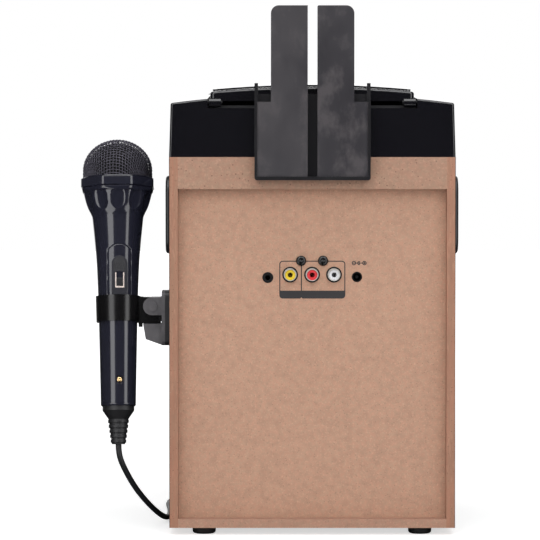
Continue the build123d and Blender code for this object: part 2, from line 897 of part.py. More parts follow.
def display_lens():
    lens = Pos(0, 0, -lens_thick / 2) * Box(lens_length, lens_height, lens_thick)
    return slope_face * Pos(0, lens_up, 0) * lens


def control_board():
    """The board behind the sloping face, with a switch under each button and the two pots."""
    top = -control_board_below
    board_plate = Pos(0, -control_board_down, top - control_board_thick / 2) * Box(
        control_board_length, control_board_height, control_board_thick)
    switch_top = -housing_wall - button_travel * 2 - button_flange_thick - button_gap
    switch = Pos(0, 0, (top + switch_top) / 2) * Box(switch_side, switch_side, switch_top - top)
    for x in control_spots().values():
        board_plate += Pos(x, -button_row_down, 0) * switch
    for side in (-1, 1):
        pot = Pos(0, 0, top + pot_depth / 2) * Box(pot_body, pot_body, pot_depth)
        board_plate += Pos(side * knob_offset, knob_up, 0) * pot
    return slope_face * board_plate


# ---- Disc tray and lid ----

def disc_tray():
    """The moulded plate with the disc's round well, and the posts that carry the drive."""
    half = pocket_half - tray_gap
    tray = block((-half, half), (pocket_front_y + tray_gap, lid_rear_y + tray_rear_reach),
                 (pocket_floor, tray_top))
    well_bottom = well_floor - well_wall
    tray += upright(0, disc_y, (well_bottom, tray_top), well_radius + well_wall)
    tray &= block((-half, half), (pocket_front_y + tray_gap, rear_y), (well_bottom, tray_top))
    tray -= upright(0, disc_y, (well_floor, tray_top + board), well_radius)
    tray -= upright(0, disc_y, (well_bottom - board, tray_top), hub_radius + well_gap)
    slot_far = sled_first + sled_travel + lens_barrel_radius + lens_gap
    tray -= block((-rod_spacing / 3, rod_spacing / 3), (disc_y - slot_far, disc_y),
                  (well_bottom - board, tray_top))
    for x, y in damper_places():
        tray += upright(x, y, (chassis_bottom - damper_height / 2, well_bottom + well_wall / 2), post_radius)
    return tray


def lid_crown(inset):
    """The crown that bounds the lid's top, at a depth below its surface."""
    return crown(crown_top + lid_proud - inset, crown_radius - inset, lid_tilt)


def lid_form(inset, extra_low):
    """The lid's form, drawn in by inset at its sides, ends and top."""
    rise = inset * crown_rise
    profile = side_form(
        (lid_rear_y - inset, lid_bottom_rear + rise - extra_low), (lid_rear_y - inset, crown_top + top_clear),
        (lid_front_y + inset, crown_top + top_clear),
        (lid_front_y + inset, lid_bottom_front - rise - extra_low))
    half = lid_width / 2 - inset
    sides = block((-half, half), (lid_front_y, lid_rear_y), (cabinet_top, crown_top + top_clear))
    return profile & sides & lid_crown(inset)


def lid_top_layer(from_inset, to_inset, radius):
    """A round piece of the lid's curved top between two depths below its surface."""
    core = upright(0, disc_y, (pocket_floor, crown_top + top_clear), radius)
    return (core & lid_crown(from_inset)) - lid_crown(to_inset)


def lid_panel():
    """The raised panel that covers the lid's top but for a strip along its rear edge."""
    half = lid_width / 2 - lid_panel_inset
    panel = block(
        (-half, half), (lid_front_y + lid_panel_inset, lid_rear_y - lid_panel_back),
        (lid_bottom_front, crown_top + top_clear))
    panel = fillet(panel.edges().filter_by(Axis.Z), lid_corner)
    return (panel & lid_crown(-lid_panel_rise)) - lid_crown(lid_wall / 2)


def disc_lid():
    form = lid_form(0, 0)
    form = fillet(form.edges().filter_by(Axis.Z), lid_corner)
    top_edges = form.edges().filter_by(Axis.Z, reverse=True)
    top_edges = top_edges.filter_by(lambda edge: edge.center().Z > lid_bottom_front + plate_gap)
    form = fillet(top_edges, lid_edge)
    lid = form - lid_form(lid_wall, lid_thick) + lid_panel()
    lid -= lid_top_layer(-lid_wall, window_thick - lid_panel_rise, window_radius + window_gap)
    lid -= lid_top_layer(-lid_wall, lid_wall * 2, window_radius - window_ledge)
    for side in (-1, 1):
        outer = pocket_half - hinge_knuckle_inset
        reach = (side * (outer - hinge_knuckle_length), side * outer)
        arm = block(reach, (lid_rear_y - lid_wall / 2, hinge_y), (hinge_z, hinge_z + hinge_knuckle_radius))
        barrel = along_x(tuple(sorted(reach)), hinge_y, hinge_z, hinge_knuckle_radius)
        bore = along_x(tuple(sorted(reach)), hinge_y, hinge_z, hinge_pin_radius + hinge_running_gap)
        lid += arm + barrel
        lid -= bore
    return lid


def lid_window():
    return lid_top_layer(-lid_panel_rise, window_thick - lid_panel_rise, window_radius)


def lid_hinge_pins():
    pins = []
    for side in (-1, 1):
        inner = side * (pocket_half - hinge_knuckle_inset - hinge_knuckle_length - hinge_knuckle_inset)
        outer = side * (pocket_half + housing_wall)
        pins.append(along_x(tuple(sorted((inner, outer))), hinge_y, hinge_z, hinge_pin_radius))
    return Compound(pins)


# ---- Disc drive ----

def damper_places():
    return [(x, disc_y + y) for x in (-damper_x, damper_x) for y in (-damper_y, damper_y)]


def sled_slot():
    """The cut-out in the chassis that the pickup looks up through."""
    return block(
        (-rod_spacing / 2 + rod_block / 2, rod_spacing / 2 - rod_block / 2),
        (sled_rest_y - sled_travel - sled_length / 4, sled_rest_y + sled_length / 4),
        (chassis_bottom - board, chassis_top + board))


def rod_ends():
    """The two Y limits of the guide rods."""
    far = sled_rest_y - sled_travel - sled_length / 2 - rod_block - well_gap / 2
    near = sled_rest_y + sled_length / 2 + rod_block + well_gap / 2
    return far, near


def mech_chassis():
    far, near = rod_ends()
    half = damper_x + damper_radius + chassis_margin
    plate = block(
        (-half, half), (far - chassis_margin, disc_y + damper_y + damper_radius + chassis_margin),
        (chassis_bottom, chassis_top))
    plate = fillet(plate.edges().filter_by(Axis.Z), chassis_corner)
    for side in (-1, 1):
        x = side * rod_spacing / 2
        for y in (far, near - rod_block):
            ear = block((x - rod_block / 2, x + rod_block / 2), (y, y + rod_block),
                        (chassis_bottom, rod_z + rod_radius * 2))
            plate += ear
        plate -= along_y(x, (far, near), rod_z, rod_radius)
    plate += upright(gear_x, gear_y, (chassis_bottom, gear_low()), gear_hub_radius * 2)
    plate += upright(gear_x, gear_y, (chassis_bottom, gear_low() + gear_thick), gear_hub_radius)
    plate -= upright(0, disc_y, (chassis_bottom - board, chassis_top + board), spindle_radius * 3)
    plate -= sled_slot()
    for x, y in damper_places():
        plate -= upright(x, y, (chassis_bottom - board, chassis_top + board), damper_neck)
    return plate


def gear_low():
    """The underside of the sled's gear."""
    return rod_z - gear_thick / 2


def drive_motors():
    """The spindle motor under the turntable and the small motor that drives the sled."""
    spindle_motor = upright(0, disc_y, (chassis_bottom - motor_height, chassis_bottom), motor_radius)
    spindle_motor += upright(0, disc_y, (chassis_bottom, chassis_top + well_wall), spindle_radius * 3)
    spindle_motor -= upright(0, disc_y, (chassis_bottom - motor_height / 2, chassis_top + board),
                             spindle_radius + running_gap)
    motor_x = gear_x + gear_hub_radius * 2 + sled_motor_radius / 2
    motor_y = (gear_y + gear_radius + well_gap, gear_y + gear_radius + well_gap + sled_motor_length)
    sled_motor = along_y(motor_x, motor_y, chassis_bottom - sled_motor_radius + sled_motor_flat,
                         sled_motor_radius)
    sled_motor -= block((motor_x - motor_radius, motor_x + motor_radius), motor_y,
                        (chassis_bottom, chassis_top))
    return Compound([spindle_motor, sled_motor])


def turntable_hub():
    """The disc's hub, with the shaft that turns in the spindle motor."""
    seat = disc_z
    hub = upright(0, disc_y, (seat - hub_thick, seat), hub_radius)
    cone = lathe((0, 0), (hub_cone_radius, 0), (hub_cone_radius, disc_thick),
                 (hub_cone_radius - disc_thick, hub_cone_height), (0, hub_cone_height))
    hub += Pos(0, disc_y, seat) * cone
    hub += upright(0, disc_y, (chassis_top + well_wall * 2, seat), hub_cone_radius)
    shaft_low = chassis_bottom - motor_height / 2 + running_gap
    return hub + upright(0, disc_y, (shaft_low, seat), spindle_radius)


def pickup_sled():
    half_width = sled_width / 2
    sled = block(
        (-half_width, half_width), (sled_rest_y - sled_length / 2, sled_rest_y + sled_length / 2),
        (rod_z - sled_height / 2, rod_z + sled_height / 2))
    sled += upright(0, sled_rest_y, (rod_z, rod_z + sled_height / 2 + lens_barrel_height), lens_barrel_radius)
    for side in (-1, 1):
        sled -= along_y(
            side * rod_spacing / 2, (sled_rest_y - sled_length, sled_rest_y + sled_length), rod_z,
            rod_radius + running_gap)
    return sled


def guide_rods():
    far, near = rod_ends()
    return Compound([along_y(side * rod_spacing / 2, (far, near), rod_z, rod_radius) for side in (-1, 1)])


def sled_gear():
    """The small gear beside the sled's edge."""
    gear = Cylinder(gear_radius - gear_tooth, gear_thick)
    tooth = Box(gear_tooth * 2, gear_tooth, gear_thick)
    for copy in ring_of(gear_teeth, gear_radius - gear_tooth, tooth):
        gear += copy
    gear -= Cylinder(gear_hub_radius + running_gap, gear_thick * 2)
    return Pos(gear_x, gear_y, gear_low() + gear_thick / 2) * gear


def damper_mounts():
    """Four rubber spools that hold the chassis on the tray's posts."""
    low = chassis_bottom - (damper_height - chassis_thick) / 2
    high = chassis_top + (damper_height - chassis_thick) / 2
    spool = lathe(
        (post_radius, low), (damper_radius, low), (damper_radius, chassis_bottom), (damper_neck, chassis_bottom),
        (damper_neck, chassis_top), (damper_radius, chassis_top), (damper_radius, high), (post_radius, high))
    return Compound([Pos(x, y, 0) * spool for x, y in damper_places()])


# ---- Boards and jacks ----

def main_board():
    """The main board on stand-offs over the cabinet's floor, with its larger parts."""
    low = floor_top + standoff_height
    high = low + board_thick
    half_length = board_length / 2
    half_width = board_width / 2
    plate = block((-half_length, half_length), (-half_width, half_width), (low, high))
    for x in (-half_length + standoff_radius * 2, half_length - standoff_radius * 2):
        for y in (-half_width + standoff_radius * 2, half_width - standoff_radius * 2):
            plate += upright(x, y, (floor_top, low), standoff_radius)
    plate += block((-half_width / 4, half_width / 4), (-half_width / 4, half_width / 4),
                   (low, high + chip_height / 3))
    plate += block((-half_length + board, -half_length / 3), (half_width / 2, half_width / 2 + board * 2),
                   (low, high + heatsink_height))
    for number in (0, 1, 2):
        plate += upright(half_length / 4 + number * capacitor_radius * 2.5, half_width / 2,
                         (low, high + capacitor_height), capacitor_radius)
    return plate


def jack_block():
    """The black body that carries the three phono sockets, held by two screws."""
    body = block((-block_half, block_half), (back_inner_y - block_depth, back_inner_y),
                 (rca_height - block_below, rca_height + block_above))
    for number in (-1, 0, 1):
        x = number * rca_pitch
        body += along_y(x, (back_inner_y - board, back_outer_y - rca_boss_short), rca_height, rca_boss_radius)
        body -= along_y(x, (back_inner_y - rca_length + back_board, rear_y), rca_height, rca_root_radius)
    for x, z in jack_screw_places():
        body -= along_y(x, (back_outer_y - jack_screw_length, rear_y), z, jack_screw_radius)
    return body


def rca_shells():
    """Three metal shells, each a little wider where it is pressed into the jack block."""
    shells = []
    for number in (-1, 0, 1):
        x = number * rca_pitch
        span = (back_inner_y - rca_length + back_board, back_outer_y + rca_proud)
        root = (span[0], back_outer_y + rca_root_proud)
        shell = along_y(x, span, rca_height, rca_shell_radius) + along_y(x, root, rca_height, rca_root_radius)
        shells.append(shell - along_y(x, span, rca_height, rca_shell_radius - rca_shell_wall))
    return Compound(shells)


def rca_insert(number):
    span = (back_inner_y - rca_length + back_board, back_outer_y + rca_proud - rca_insert_short)
    insert = along_y(number * rca_pitch, span, rca_height, rca_shell_radius - rca_shell_wall)
    contact = (span[0] + rca_insert_short, rear_y)
    return insert - along_y(number * rca_pitch, contact, rca_height, rca_contact_radius)


def aux_jack():
    z = rca_height - aux_below
    body = block((aux_offset - aux_body / 2, aux_offset + aux_body / 2),
                 (back_inner_y - aux_body, back_inner_y), (z - aux_body / 2, z + aux_body / 2))
    body += along_y(aux_offset, (back_inner_y - board, back_outer_y + jack_gap), z, aux_radius)
    return body - along_y(aux_offset, (back_inner_y - aux_body + board / 2, rear_y), z, aux_bore_radius)


def dc_jack():
    z = rca_height - dc_below
    body = block((-dc_offset - aux_body / 2, -dc_offset + aux_body / 2),
                 (back_inner_y - aux_body, back_inner_y), (z - aux_body / 2, z + aux_body / 2))
    body += along_y(-dc_offset, (back_inner_y - board, back_outer_y + jack_gap), z, dc_radius)
    body -= along_y(-dc_offset, (back_inner_y - aux_body + board / 2, rear_y), z, dc_bore_radius)
    return body + along_y(-dc_offset, (back_inner_y - aux_body + board / 4, back_outer_y - board / 4), z,
                          dc_pin_radius)


def jack_screws():
    head_y = back_outer_y + jack_screw_head
    turned = Rot(90, 0, 0) * cross_cut(0)
    screws = []
    for x, z in jack_screw_places():
        head = along_y(x, (back_outer_y, head_y), z, jack_screw_head_radius)
        head = fillet(head.edges().filter_by(GeomType.CIRCLE).sort_by(Axis.Y)[-1], jack_screw_head / 2)
        shank = along_y(x, (head_y - jack_screw_length, back_outer_y + wood_gap), z, jack_screw_radius)
        screws.append(head + shank - Pos(x, head_y, z) * turned)
    return Compound(screws)


def mic_jacks():
    """Two sockets for microphone plugs, with their nuts, at the foot of the front."""
    jacks = []
    for x in mic_jack_places():
        jack = along_y(x, (fascia_front_y, fascia_front_y + mic_jack_length), mic_jack_height, mic_jack_radius)
        jack += along_y(x, (baffle_rear_y, baffle_rear_y + mic_jack_nut), mic_jack_height, mic_jack_nut_radius)
        jacks.append(jack - along_y(
            x, (fascia_front_y - board, fascia_front_y + mic_jack_length - mic_jack_nut), mic_jack_height,
            mic_jack_bore_radius))
    return Compound(jacks)


# ---- Microphone ----

def at_mic(shape):
    """Places a shape made round an upright axis where the microphone leans in its clip."""
    return Pos(mic_x, mic_y, clip_middle) * Rot(mic_tilt, mic_roll, 0) * Pos(0, 0, -clip_middle) * shape


def mic_body():
    """The turned handle with its fluted bowl and the raised pad round the switch."""
    handle = lathe(
        (0, mic_bottom), (mic_bottom_radius, mic_bottom), (mic_clip_bottom_radius, mic_clip_bottom),
        (mic_clip_top_radius, mic_clip_top), (mic_waist_radius, mic_waist), (mic_neck_radius, mic_neck),
        (mic_shoulder_radius, mic_bowl_bottom), (mic_bowl_radius, mic_collar_bottom),
        (mic_bowl_radius - mic_wall, mic_collar_bottom), (mic_bowl_radius - mic_wall, mic_grille_bottom),
        (0, mic_grille_bottom))
    half_pad = switch_pad_width / 2
    pad_face = mic_waist_radius + switch_pad_proud
    handle += block((-half_pad, half_pad), (0, pad_face), (switch_pad_bottom, switch_pad_top))
    half_slot = switch_slot_width / 2
    handle -= block((-half_slot, half_slot), (pad_face - switch_slot_depth, pad_face + board),
                    (switch_slot_bottom, switch_slot_top))
    return at_mic(handle)


def mic_switch():
    half = switch_slot_width / 2 - switch_gap
    pad_face = mic_waist_radius + switch_pad_proud
    low = switch_slot_bottom + switch_gap / 2
    slider = block((-half, half), (pad_face - switch_slot_depth + switch_gap / 2, pad_face + switch_proud),
                   (low, low + switch_length - switch_gap))
    slider = fillet(slider.faces().sort_by(Axis.Y)[-1].edges(), switch_gap * 2)
    return at_mic(slider)


def mic_collar():
    """The faceted ring that keeps the microphone from rolling."""
    band = extrude(
        RegularPolygon(mic_collar_radius, mic_collar_sides, major_radius=False),
        amount=mic_grille_bottom - mic_collar_bottom)
    band = chamfer(band.edges().filter_by(lambda edge: abs(edge.tangent_at(0.5).Z) < 0.5), mic_collar_edge)
    band -= upright(0, 0, (0, mic_grille_bottom), mic_bowl_radius - mic_wall)
    turn = 180 / mic_collar_sides - mic_collar_turn
    return at_mic(Pos(0, 0, mic_collar_bottom) * Rot(0, 0, turn) * band)


def mic_grille():
    """The round wire grille, as a shell of its outer shape, open where it sits on the collar."""
    place = Pos(0, 0, mic_top - mic_grille_radius)
    ball = place * Sphere(mic_grille_radius) - place * Sphere(mic_grille_radius - mic_grille_wall)
    return at_mic(ball - upright(0, 0, (mic_bottom, mic_grille_bottom), mic_collar_radius))


def mic_capsule():
    return at_mic(upright(0, 0, (mic_grille_bottom, mic_grille_bottom + mic_capsule_height), mic_capsule_radius))


def mic_relief():
    """The ribbed rubber boot that guides the cord out of the handle."""
    boot = lathe(
        (0, relief_bottom), (relief_end_radius, relief_bottom), (relief_neck_radius, relief_cup_bottom),
        (relief_cup_radius, mic_bottom - relief_cup_height), (relief_cup_radius, mic_bottom), (0, mic_bottom))
    pitch = (relief_cup_bottom - relief_bottom) / relief_ribs
    for number in range(relief_ribs):
        low = relief_bottom + number * pitch + pitch / 4
        share = (low - relief_bottom) / (relief_cup_bottom - relief_bottom)
        radius = relief_end_radius + share * (relief_neck_radius - relief_end_radius) + relief_rib_proud
        rib = fillet(upright(0, 0, (low, low + relief_rib_height), radius).edges().filter_by(GeomType.CIRCLE),
                     relief_rib_proud / 2)
        boot += rib
    return at_mic(boot)


# ---- Microphone holder ----

def cheek(side):
    """A D-shaped cheek of the holder, on one side of the clip's tongue."""
    near_y = mic_y + side * cheek_inner_y
    far_y = near_y + side * cheek_thick
    depth = (min(near_y, far_y), max(near_y, far_y))
    plate = block((side_x, cheek_centre_x), depth, (cheek_bottom, cheek_top))
    plate += along_y(cheek_centre_x, depth, cheek_centre_z, cheek_radius)
    head = (far_y, far_y + clip_screw_head) if side > 0 else (far_y - clip_screw_head, far_y)
    return plate + along_y(cheek_centre_x, head, cheek_centre_z, clip_screw_head_radius)


def mic_holder():
    """The bracket on the side: plate, two cheeks with the screw through them, and a gusset below."""
    holder = rounded_plate(
        (side_x, side_x + holder_plate),
        (mic_y - holder_plate_width / 2, mic_y + holder_plate_width / 2),
        (holder_plate_bottom, holder_plate_top), holder_plate_corner)
    holder += cheek(1) + cheek(-1)
    between = (mic_y - cheek_inner_y, mic_y + cheek_inner_y)
    holder += along_y(cheek_centre_x, between, cheek_centre_z, clip_screw_radius)
    tip_x = side_x + cheek_reach
    gusset_half = cheek_inner_y + cheek_thick
    profile = Plane.XZ * Polygon(
        (side_x, gusset_top), (tip_x, gusset_top), (tip_x - gusset_tip_back, gusset_top - gusset_tip_drop),
        (side_x + holder_plate, gusset_foot), (side_x, gusset_foot), align=None)
    return holder + extrude(Pos(0, mic_y, 0) * profile, amount=gusset_half, both=True)


def clip_cone(grow, low, high):
    """The microphone's taper where the clip holds it, grown outwards."""
    slope = (mic_clip_top_radius - mic_clip_bottom_radius) / (mic_clip_top - mic_clip_bottom)
    low_radius = mic_clip_bottom_radius + grow + (low - mic_clip_bottom) * slope
    high_radius = mic_clip_bottom_radius + grow + (high - mic_clip_bottom) * slope
    return at_mic(lathe((0, low), (low_radius, low), (high_radius, high), (0, high)))


def mic_clip():
    """The sprung C-band round the handle, with the tongue that the holder's cheeks grip."""
    band = clip_cone(clip_gap + clip_wall, mic_clip_bottom, mic_clip_top)
    across = (mic_y - clip_neck_width / 2, mic_y + clip_neck_width / 2)
    tongue_x = side_x + holder_plate + clip_tongue_start
    band += block((tongue_x, mic_x - mic_clip_top_radius), across, (gusset_top + clip_tongue_gap, cheek_top))
    band += block((clip_neck_x + clip_tongue_gap, mic_x - mic_clip_bottom_radius), across,
                  (mic_clip_bottom, mic_clip_top))
    nub_x = clip_neck_x + clip_nub_in
    band += upright(nub_x, mic_y, (mic_clip_bottom - clip_nub_drop, mic_clip_top), clip_nub_radius)
    band -= along_y(cheek_centre_x, across, cheek_centre_z, clip_screw_radius + clip_screw_gap)
    band -= clip_cone(clip_gap, mic_clip_bottom - board, mic_clip_top + board)
    mouth = block((mic_x - clip_mouth / 2, mic_x + clip_mouth / 2), (mic_y - mic_grille_radius, mic_y),
                  (mic_clip_bottom - board, mic_clip_top + board))
    return band - mouth


# ---- Cord ----

def route_radii(points):
    """The arc at each corner: 0.45 of the shorter run over the tangent of half the turn."""
    radii = []
    for before, corner, after in zip(points, points[1:], points[2:]):
        first = Vector(*corner) - Vector(*before)
        second = Vector(*after) - Vector(*corner)
        turn = first.get_angle(second)
        shorter = min(first.length, second.length)
        radii.append(0.45 * shorter / math.tan(math.radians(turn / 2)))
    return radii


def mic_cord():
    """The stretch of cord from the microphone to the coil: straight runs and tangent arcs."""
    radii = route_radii(cord_route)
    print("cord radii", [round(radius, 1) for radius in radii])
    path = FilletPolyline(*cord_route, radius=radii)
    start = Plane(origin=path @ 0, z_dir=path % 0)
    tube = sweep(start * Circle(cord_diameter / 2), path=path)
    section = math.pi * cord_diameter ** 2 / 4
    print("cord stretch", round(path.length, 1), "volume ratio", round(tube.volume / (section * path.length), 4))
    return tube


def mic_cord_coil():
    ring = upright(coil_x, coil_y, (0, coil_height), coil_outer)
    ring -= upright(coil_x, coil_y, (0, coil_height), coil_inner)
    return fillet(ring.edges().filter_by(GeomType.CIRCLE), coil_corner)


def mic_plug():
    """The plug on the cord's far end, lying on the floor beside the coil."""
    barrel = lathe(
        (0, 0), (plug_tail_radius, 0), (plug_tail_radius, plug_tail_length),
        (plug_barrel_radius, plug_tail_length), (plug_barrel_radius, plug_tail_length + plug_barrel_length),
        (plug_pin_radius, plug_tail_length + plug_barrel_length),
        (plug_pin_radius, plug_tail_length + plug_barrel_length + plug_pin_length * 0.82),
        (plug_groove_radius, plug_tail_length + plug_barrel_length + plug_pin_length * 0.86),
        (plug_pin_radius, plug_tail_length + plug_barrel_length + plug_pin_length * 0.92),
        (0, plug_tail_length + plug_barrel_length + plug_pin_length))
    angle = math.radians(plug_angle)
    leave = coil_outer - cord_diameter / 2
    tail_x = coil_x + leave * math.cos(angle) - plug_off_coil * math.sin(angle)
    tail_y = coil_y + leave * math.sin(angle) + plug_off_coil * math.cos(angle)
    along = (-math.sin(angle), math.cos(angle), 0)
    return Plane(origin=(tail_x, tail_y, plug_barrel_radius), z_dir=along) * barrel


# ---- Tablet cradle ----

def cradle_sleeve():
    """The black sleeve behind the arms: back wall, cheeks, foot rim, posts and hooks."""
    half = cradle_width / 2
    back_y = cradle_front_y + cradle_wall
    rear = cradle_front_y + cradle_depth
    sleeve = block((-half, half), (cradle_front_y, back_y), (cradle_bottom, cradle_back_top))
    sleeve += block((-half, half), (cradle_front_y, rear), (cradle_bottom, cradle_bottom + cradle_rim))
    for side in (-1, 1):
        sleeve += block((side * (half - cradle_cheek), side * half), (cradle_front_y, rear),
                        (cradle_bottom, arm_shoulder))
        sleeve += block((side * (half - cradle_post_width), side * half),
                        (cradle_front_y, cradle_front_y + cradle_post_depth), (cradle_bottom, cradle_post_top))
    low_corners = sleeve.edges().filter_by(Axis.Y).filter_by(
        lambda edge: edge.center().Z < cradle_bottom + plate_gap and abs(edge.center().X) > half - plate_gap)
    sleeve = fillet(low_corners, cradle_corner)
    tip_rear = rear_y - housing_wall - hook_gap
    for x in hook_places():
        across = (x - hook_width / 2, x + hook_width / 2)
        sleeve += block(across, (tip_rear - hook_thick, cradle_front_y + cradle_wall / 2),
                        (hook_neck_bottom, hook_neck_top))
        sleeve += block(across, (tip_rear - hook_thick, tip_rear), (hook_bottom, hook_neck_top))
    return sleeve


def cradle_arm(side):
    """One arm: a wide plate between the cheeks that narrows to a tall tongue."""
    inner = side * arm_gap / 2
    outer = side * (cradle_width / 2 - cradle_cheek - plate_gap)
    arm_outer = side * (arm_gap / 2 + arm_width)
    depth = (arm_front_y, arm_front_y + arm_thick)
    plate = block((inner, outer), depth, (cradle_bottom + cradle_rim, arm_shoulder))
    tongue = block((inner, arm_outer), depth, (arm_shoulder - board, arm_top))
    upright_edges = tongue.edges().filter_by(Axis.Y).sort_by(Axis.Z)[-2:].sort_by(Axis.X)
    outer_edge = upright_edges[-1] if side > 0 else upright_edges[0]
    inner_edge = upright_edges[0] if side > 0 else upright_edges[-1]
    tongue = fillet(outer_edge, arm_corner)
    tongue = fillet(tongue.edges().filter_by(Axis.Y).sort_by(Axis.X)[0 if side > 0 else -1], arm_inner_corner)
    hollow = block(
        (inner + side * arm_skin, arm_outer - side * arm_skin), (arm_front_y - board, depth[1] - arm_skin),
        (arm_hollow_bottom, arm_top - arm_corner))
    notch_half = cradle_width / 2 - cradle_post_width - plate_gap
    trim = block(
        (side * notch_half, side * cradle_width),
        (cradle_front_y, cradle_front_y + cradle_post_depth + plate_gap), (cradle_bottom, arm_top))
    return plate + tongue - hollow - trim


def cradle_arms():
    return Compound([cradle_arm(side) for side in (-1, 1)])


def write(name, shape):
    shape.label = name
    export_step(shape, f"parts/{name}.step")


def write_all():
    os.makedirs("parts", exist_ok=True)
    for name, side in (("left", -1), ("right", 1)):
        write(f"side_panel_{name}", side_panel(side))
        write(f"handle_cup_{name}", handle_cup(side))
    for name, side in (("volume_knob", -1), ("echo_knob", 1)):
        write(name, knob(side))
    for name, x in control_spots().items():
        write(name, round_button(x))
    for name, number in (("yellow", 1), ("red", 0), ("white", -1)):
        write(f"rca_insert_{name}", rca_insert(number))
    makers = [
        bottom_panel, rear_top_rail, back_panel, front_baffle, corner_cleats, rubber_feet, foot_screws,
        front_fascia, speaker_grille, speaker_frame, speaker_cone, speaker_magnet, top_housing, disc_tray,
        disc_lid, lid_window, lid_hinge_pins, lid_button, display_lens, control_board, mech_chassis,
        drive_motors, turntable_hub, pickup_sled, guide_rods, sled_gear, damper_mounts, main_board,
        jack_block, rca_shells, aux_jack, dc_jack, jack_screws, mic_jacks, mic_body, mic_switch,
        mic_collar, mic_grille, mic_capsule, mic_relief, mic_holder, mic_clip, mic_cord, mic_cord_coil,
        mic_plug, cradle_sleeve, cradle_arms,
    ]
    for make in makers:
        write(make.__name__, make())


write_all()
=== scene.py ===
"""Looks of the karaoke machine with its disc tray, tablet cradle and wired microphone."""
import math

import bmesh
import bpy
import numpy as np
from mathutils import Matrix, Vector


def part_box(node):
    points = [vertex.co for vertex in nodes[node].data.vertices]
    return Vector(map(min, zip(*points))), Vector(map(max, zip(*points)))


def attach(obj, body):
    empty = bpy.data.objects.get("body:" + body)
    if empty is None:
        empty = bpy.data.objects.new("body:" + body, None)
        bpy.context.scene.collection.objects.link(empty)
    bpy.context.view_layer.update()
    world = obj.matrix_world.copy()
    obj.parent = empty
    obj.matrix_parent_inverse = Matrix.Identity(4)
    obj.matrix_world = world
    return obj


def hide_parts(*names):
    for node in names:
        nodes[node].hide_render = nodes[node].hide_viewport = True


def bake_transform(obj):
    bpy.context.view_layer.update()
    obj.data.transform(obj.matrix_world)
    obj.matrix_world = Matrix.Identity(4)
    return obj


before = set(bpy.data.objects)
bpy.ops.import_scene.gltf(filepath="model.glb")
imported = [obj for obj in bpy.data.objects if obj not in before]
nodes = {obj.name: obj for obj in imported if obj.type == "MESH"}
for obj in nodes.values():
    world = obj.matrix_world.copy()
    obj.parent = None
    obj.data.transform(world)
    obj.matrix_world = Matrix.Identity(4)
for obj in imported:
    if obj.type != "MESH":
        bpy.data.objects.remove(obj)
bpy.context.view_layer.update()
scene = bpy.context.scene
scene.view_settings.view_transform = "Standard"


# ---- Camera ----

CAMERA_PLACE = (0.0288, 2.295, 0.2642)
CAMERA_PITCH = math.radians(2.16)
FOCAL_PIXELS = 3235.0
FRAME_PIXELS = 540.0
SENSOR = 36.0
SEES_TO = 50


def make_camera():
    data = bpy.data.cameras.new("camera")
    data.sensor_width = SENSOR
    data.lens = FOCAL_PIXELS / FRAME_PIXELS * SENSOR
    data.clip_end = SEES_TO
    camera = bpy.data.objects.new("camera", data)
    camera.location = CAMERA_PLACE
    camera.rotation_euler = (math.pi / 2 - CAMERA_PITCH, 0, math.pi)
    scene.collection.objects.link(camera)
    scene.camera = camera


make_camera()


# ---- Mesh helpers ----

SAME_PLACE = 1e-6
BEVEL_FROM = math.radians(40)
ARCH_STEPS = 16


def add_object(name, data):
    obj = bpy.data.objects.new(name, data)
    scene.collection.objects.link(obj)
    return obj


def finish_mesh(name, bm, smooth=True, sharp_angle=35):
    """A new object from a bmesh, with its normals outwards and its sharp edges kept sharp."""
    bmesh.ops.recalc_face_normals(bm, faces=bm.faces)
    for face in bm.faces:
        face.smooth = smooth
    for edge in bm.edges:
        if len(edge.link_faces) == 2 and edge.calc_face_angle(0) > math.radians(sharp_angle):
            edge.smooth = False
    data = bpy.data.meshes.new(name)
    bm.to_mesh(data)
    bm.free()
    return add_object(name, data)


def add_rings(bm, rings, closed_ends=True):
    """Skins a list of rings, each a list of points, with faces, and caps both ends."""
    made = [[bm.verts.new(point) for point in ring] for ring in rings]
    for low, high in zip(made, made[1:]):
        count = len(low)
        for index in range(count):
            after = (index + 1) % count
            bm.faces.new((low[index], low[after], high[after], high[index]))
    if closed_ends:
        bm.faces.new(list(reversed(made[0])))
        bm.faces.new(made[-1])
    return made


def circle_points(centre, radius, start=0, end=360, steps=20):
    """Points along an arc, both of its ends included."""
    return [
        (centre[0] + radius * math.cos(turn), centre[1] + radius * math.sin(turn))
        for turn in (math.radians(start + (end - start) * step / steps) for step in range(steps + 1))]


def rectangle(low_x, low_z, high_x, high_z):
    return [(low_x, low_z), (high_x, low_z), (high_x, high_z), (low_x, high_z)]


def rounded_outline(low, high, radii, steps=8):
    """The corners of a rectangle, rounded, anticlockwise from the low corner. radii has four values."""
    corners = ((low[0], low[1], 180), (high[0], low[1], 270), (high[0], high[1], 0), (low[0], high[1], 90))
    points = []
    for (x, z, start), radius in zip(corners, radii):
        centre_x = x + radius if start in (180, 90) else x - radius
        centre_z = z + radius if start in (180, 270) else z - radius
        arc = circle_points((centre_x, centre_z), radius, start, start + 90, steps)
        points += arc if radius else arc[:1]
    return points


def arch_outline(half_width, bottom, top):
    """A door shape: square at its foot, a half circle at its top."""
    feet = [(-half_width, bottom), (half_width, bottom)]
    return feet + circle_points((0, top - half_width), half_width, 0, 180, ARCH_STEPS)


def add_slab(bm, outline, low, high):
    """A flat plate: the outline of (x, z) points, filled between two depths along Y."""
    bottom = [bm.verts.new((x, low, z)) for x, z in outline]
    top = [bm.verts.new((x, high, z)) for x, z in outline]
    bm.faces.new(bottom)
    bm.faces.new(list(reversed(top)))
    for index in range(len(outline)):
        after = (index + 1) % len(outline)
        bm.faces.new((bottom[index], top[index], top[after], bottom[after]))


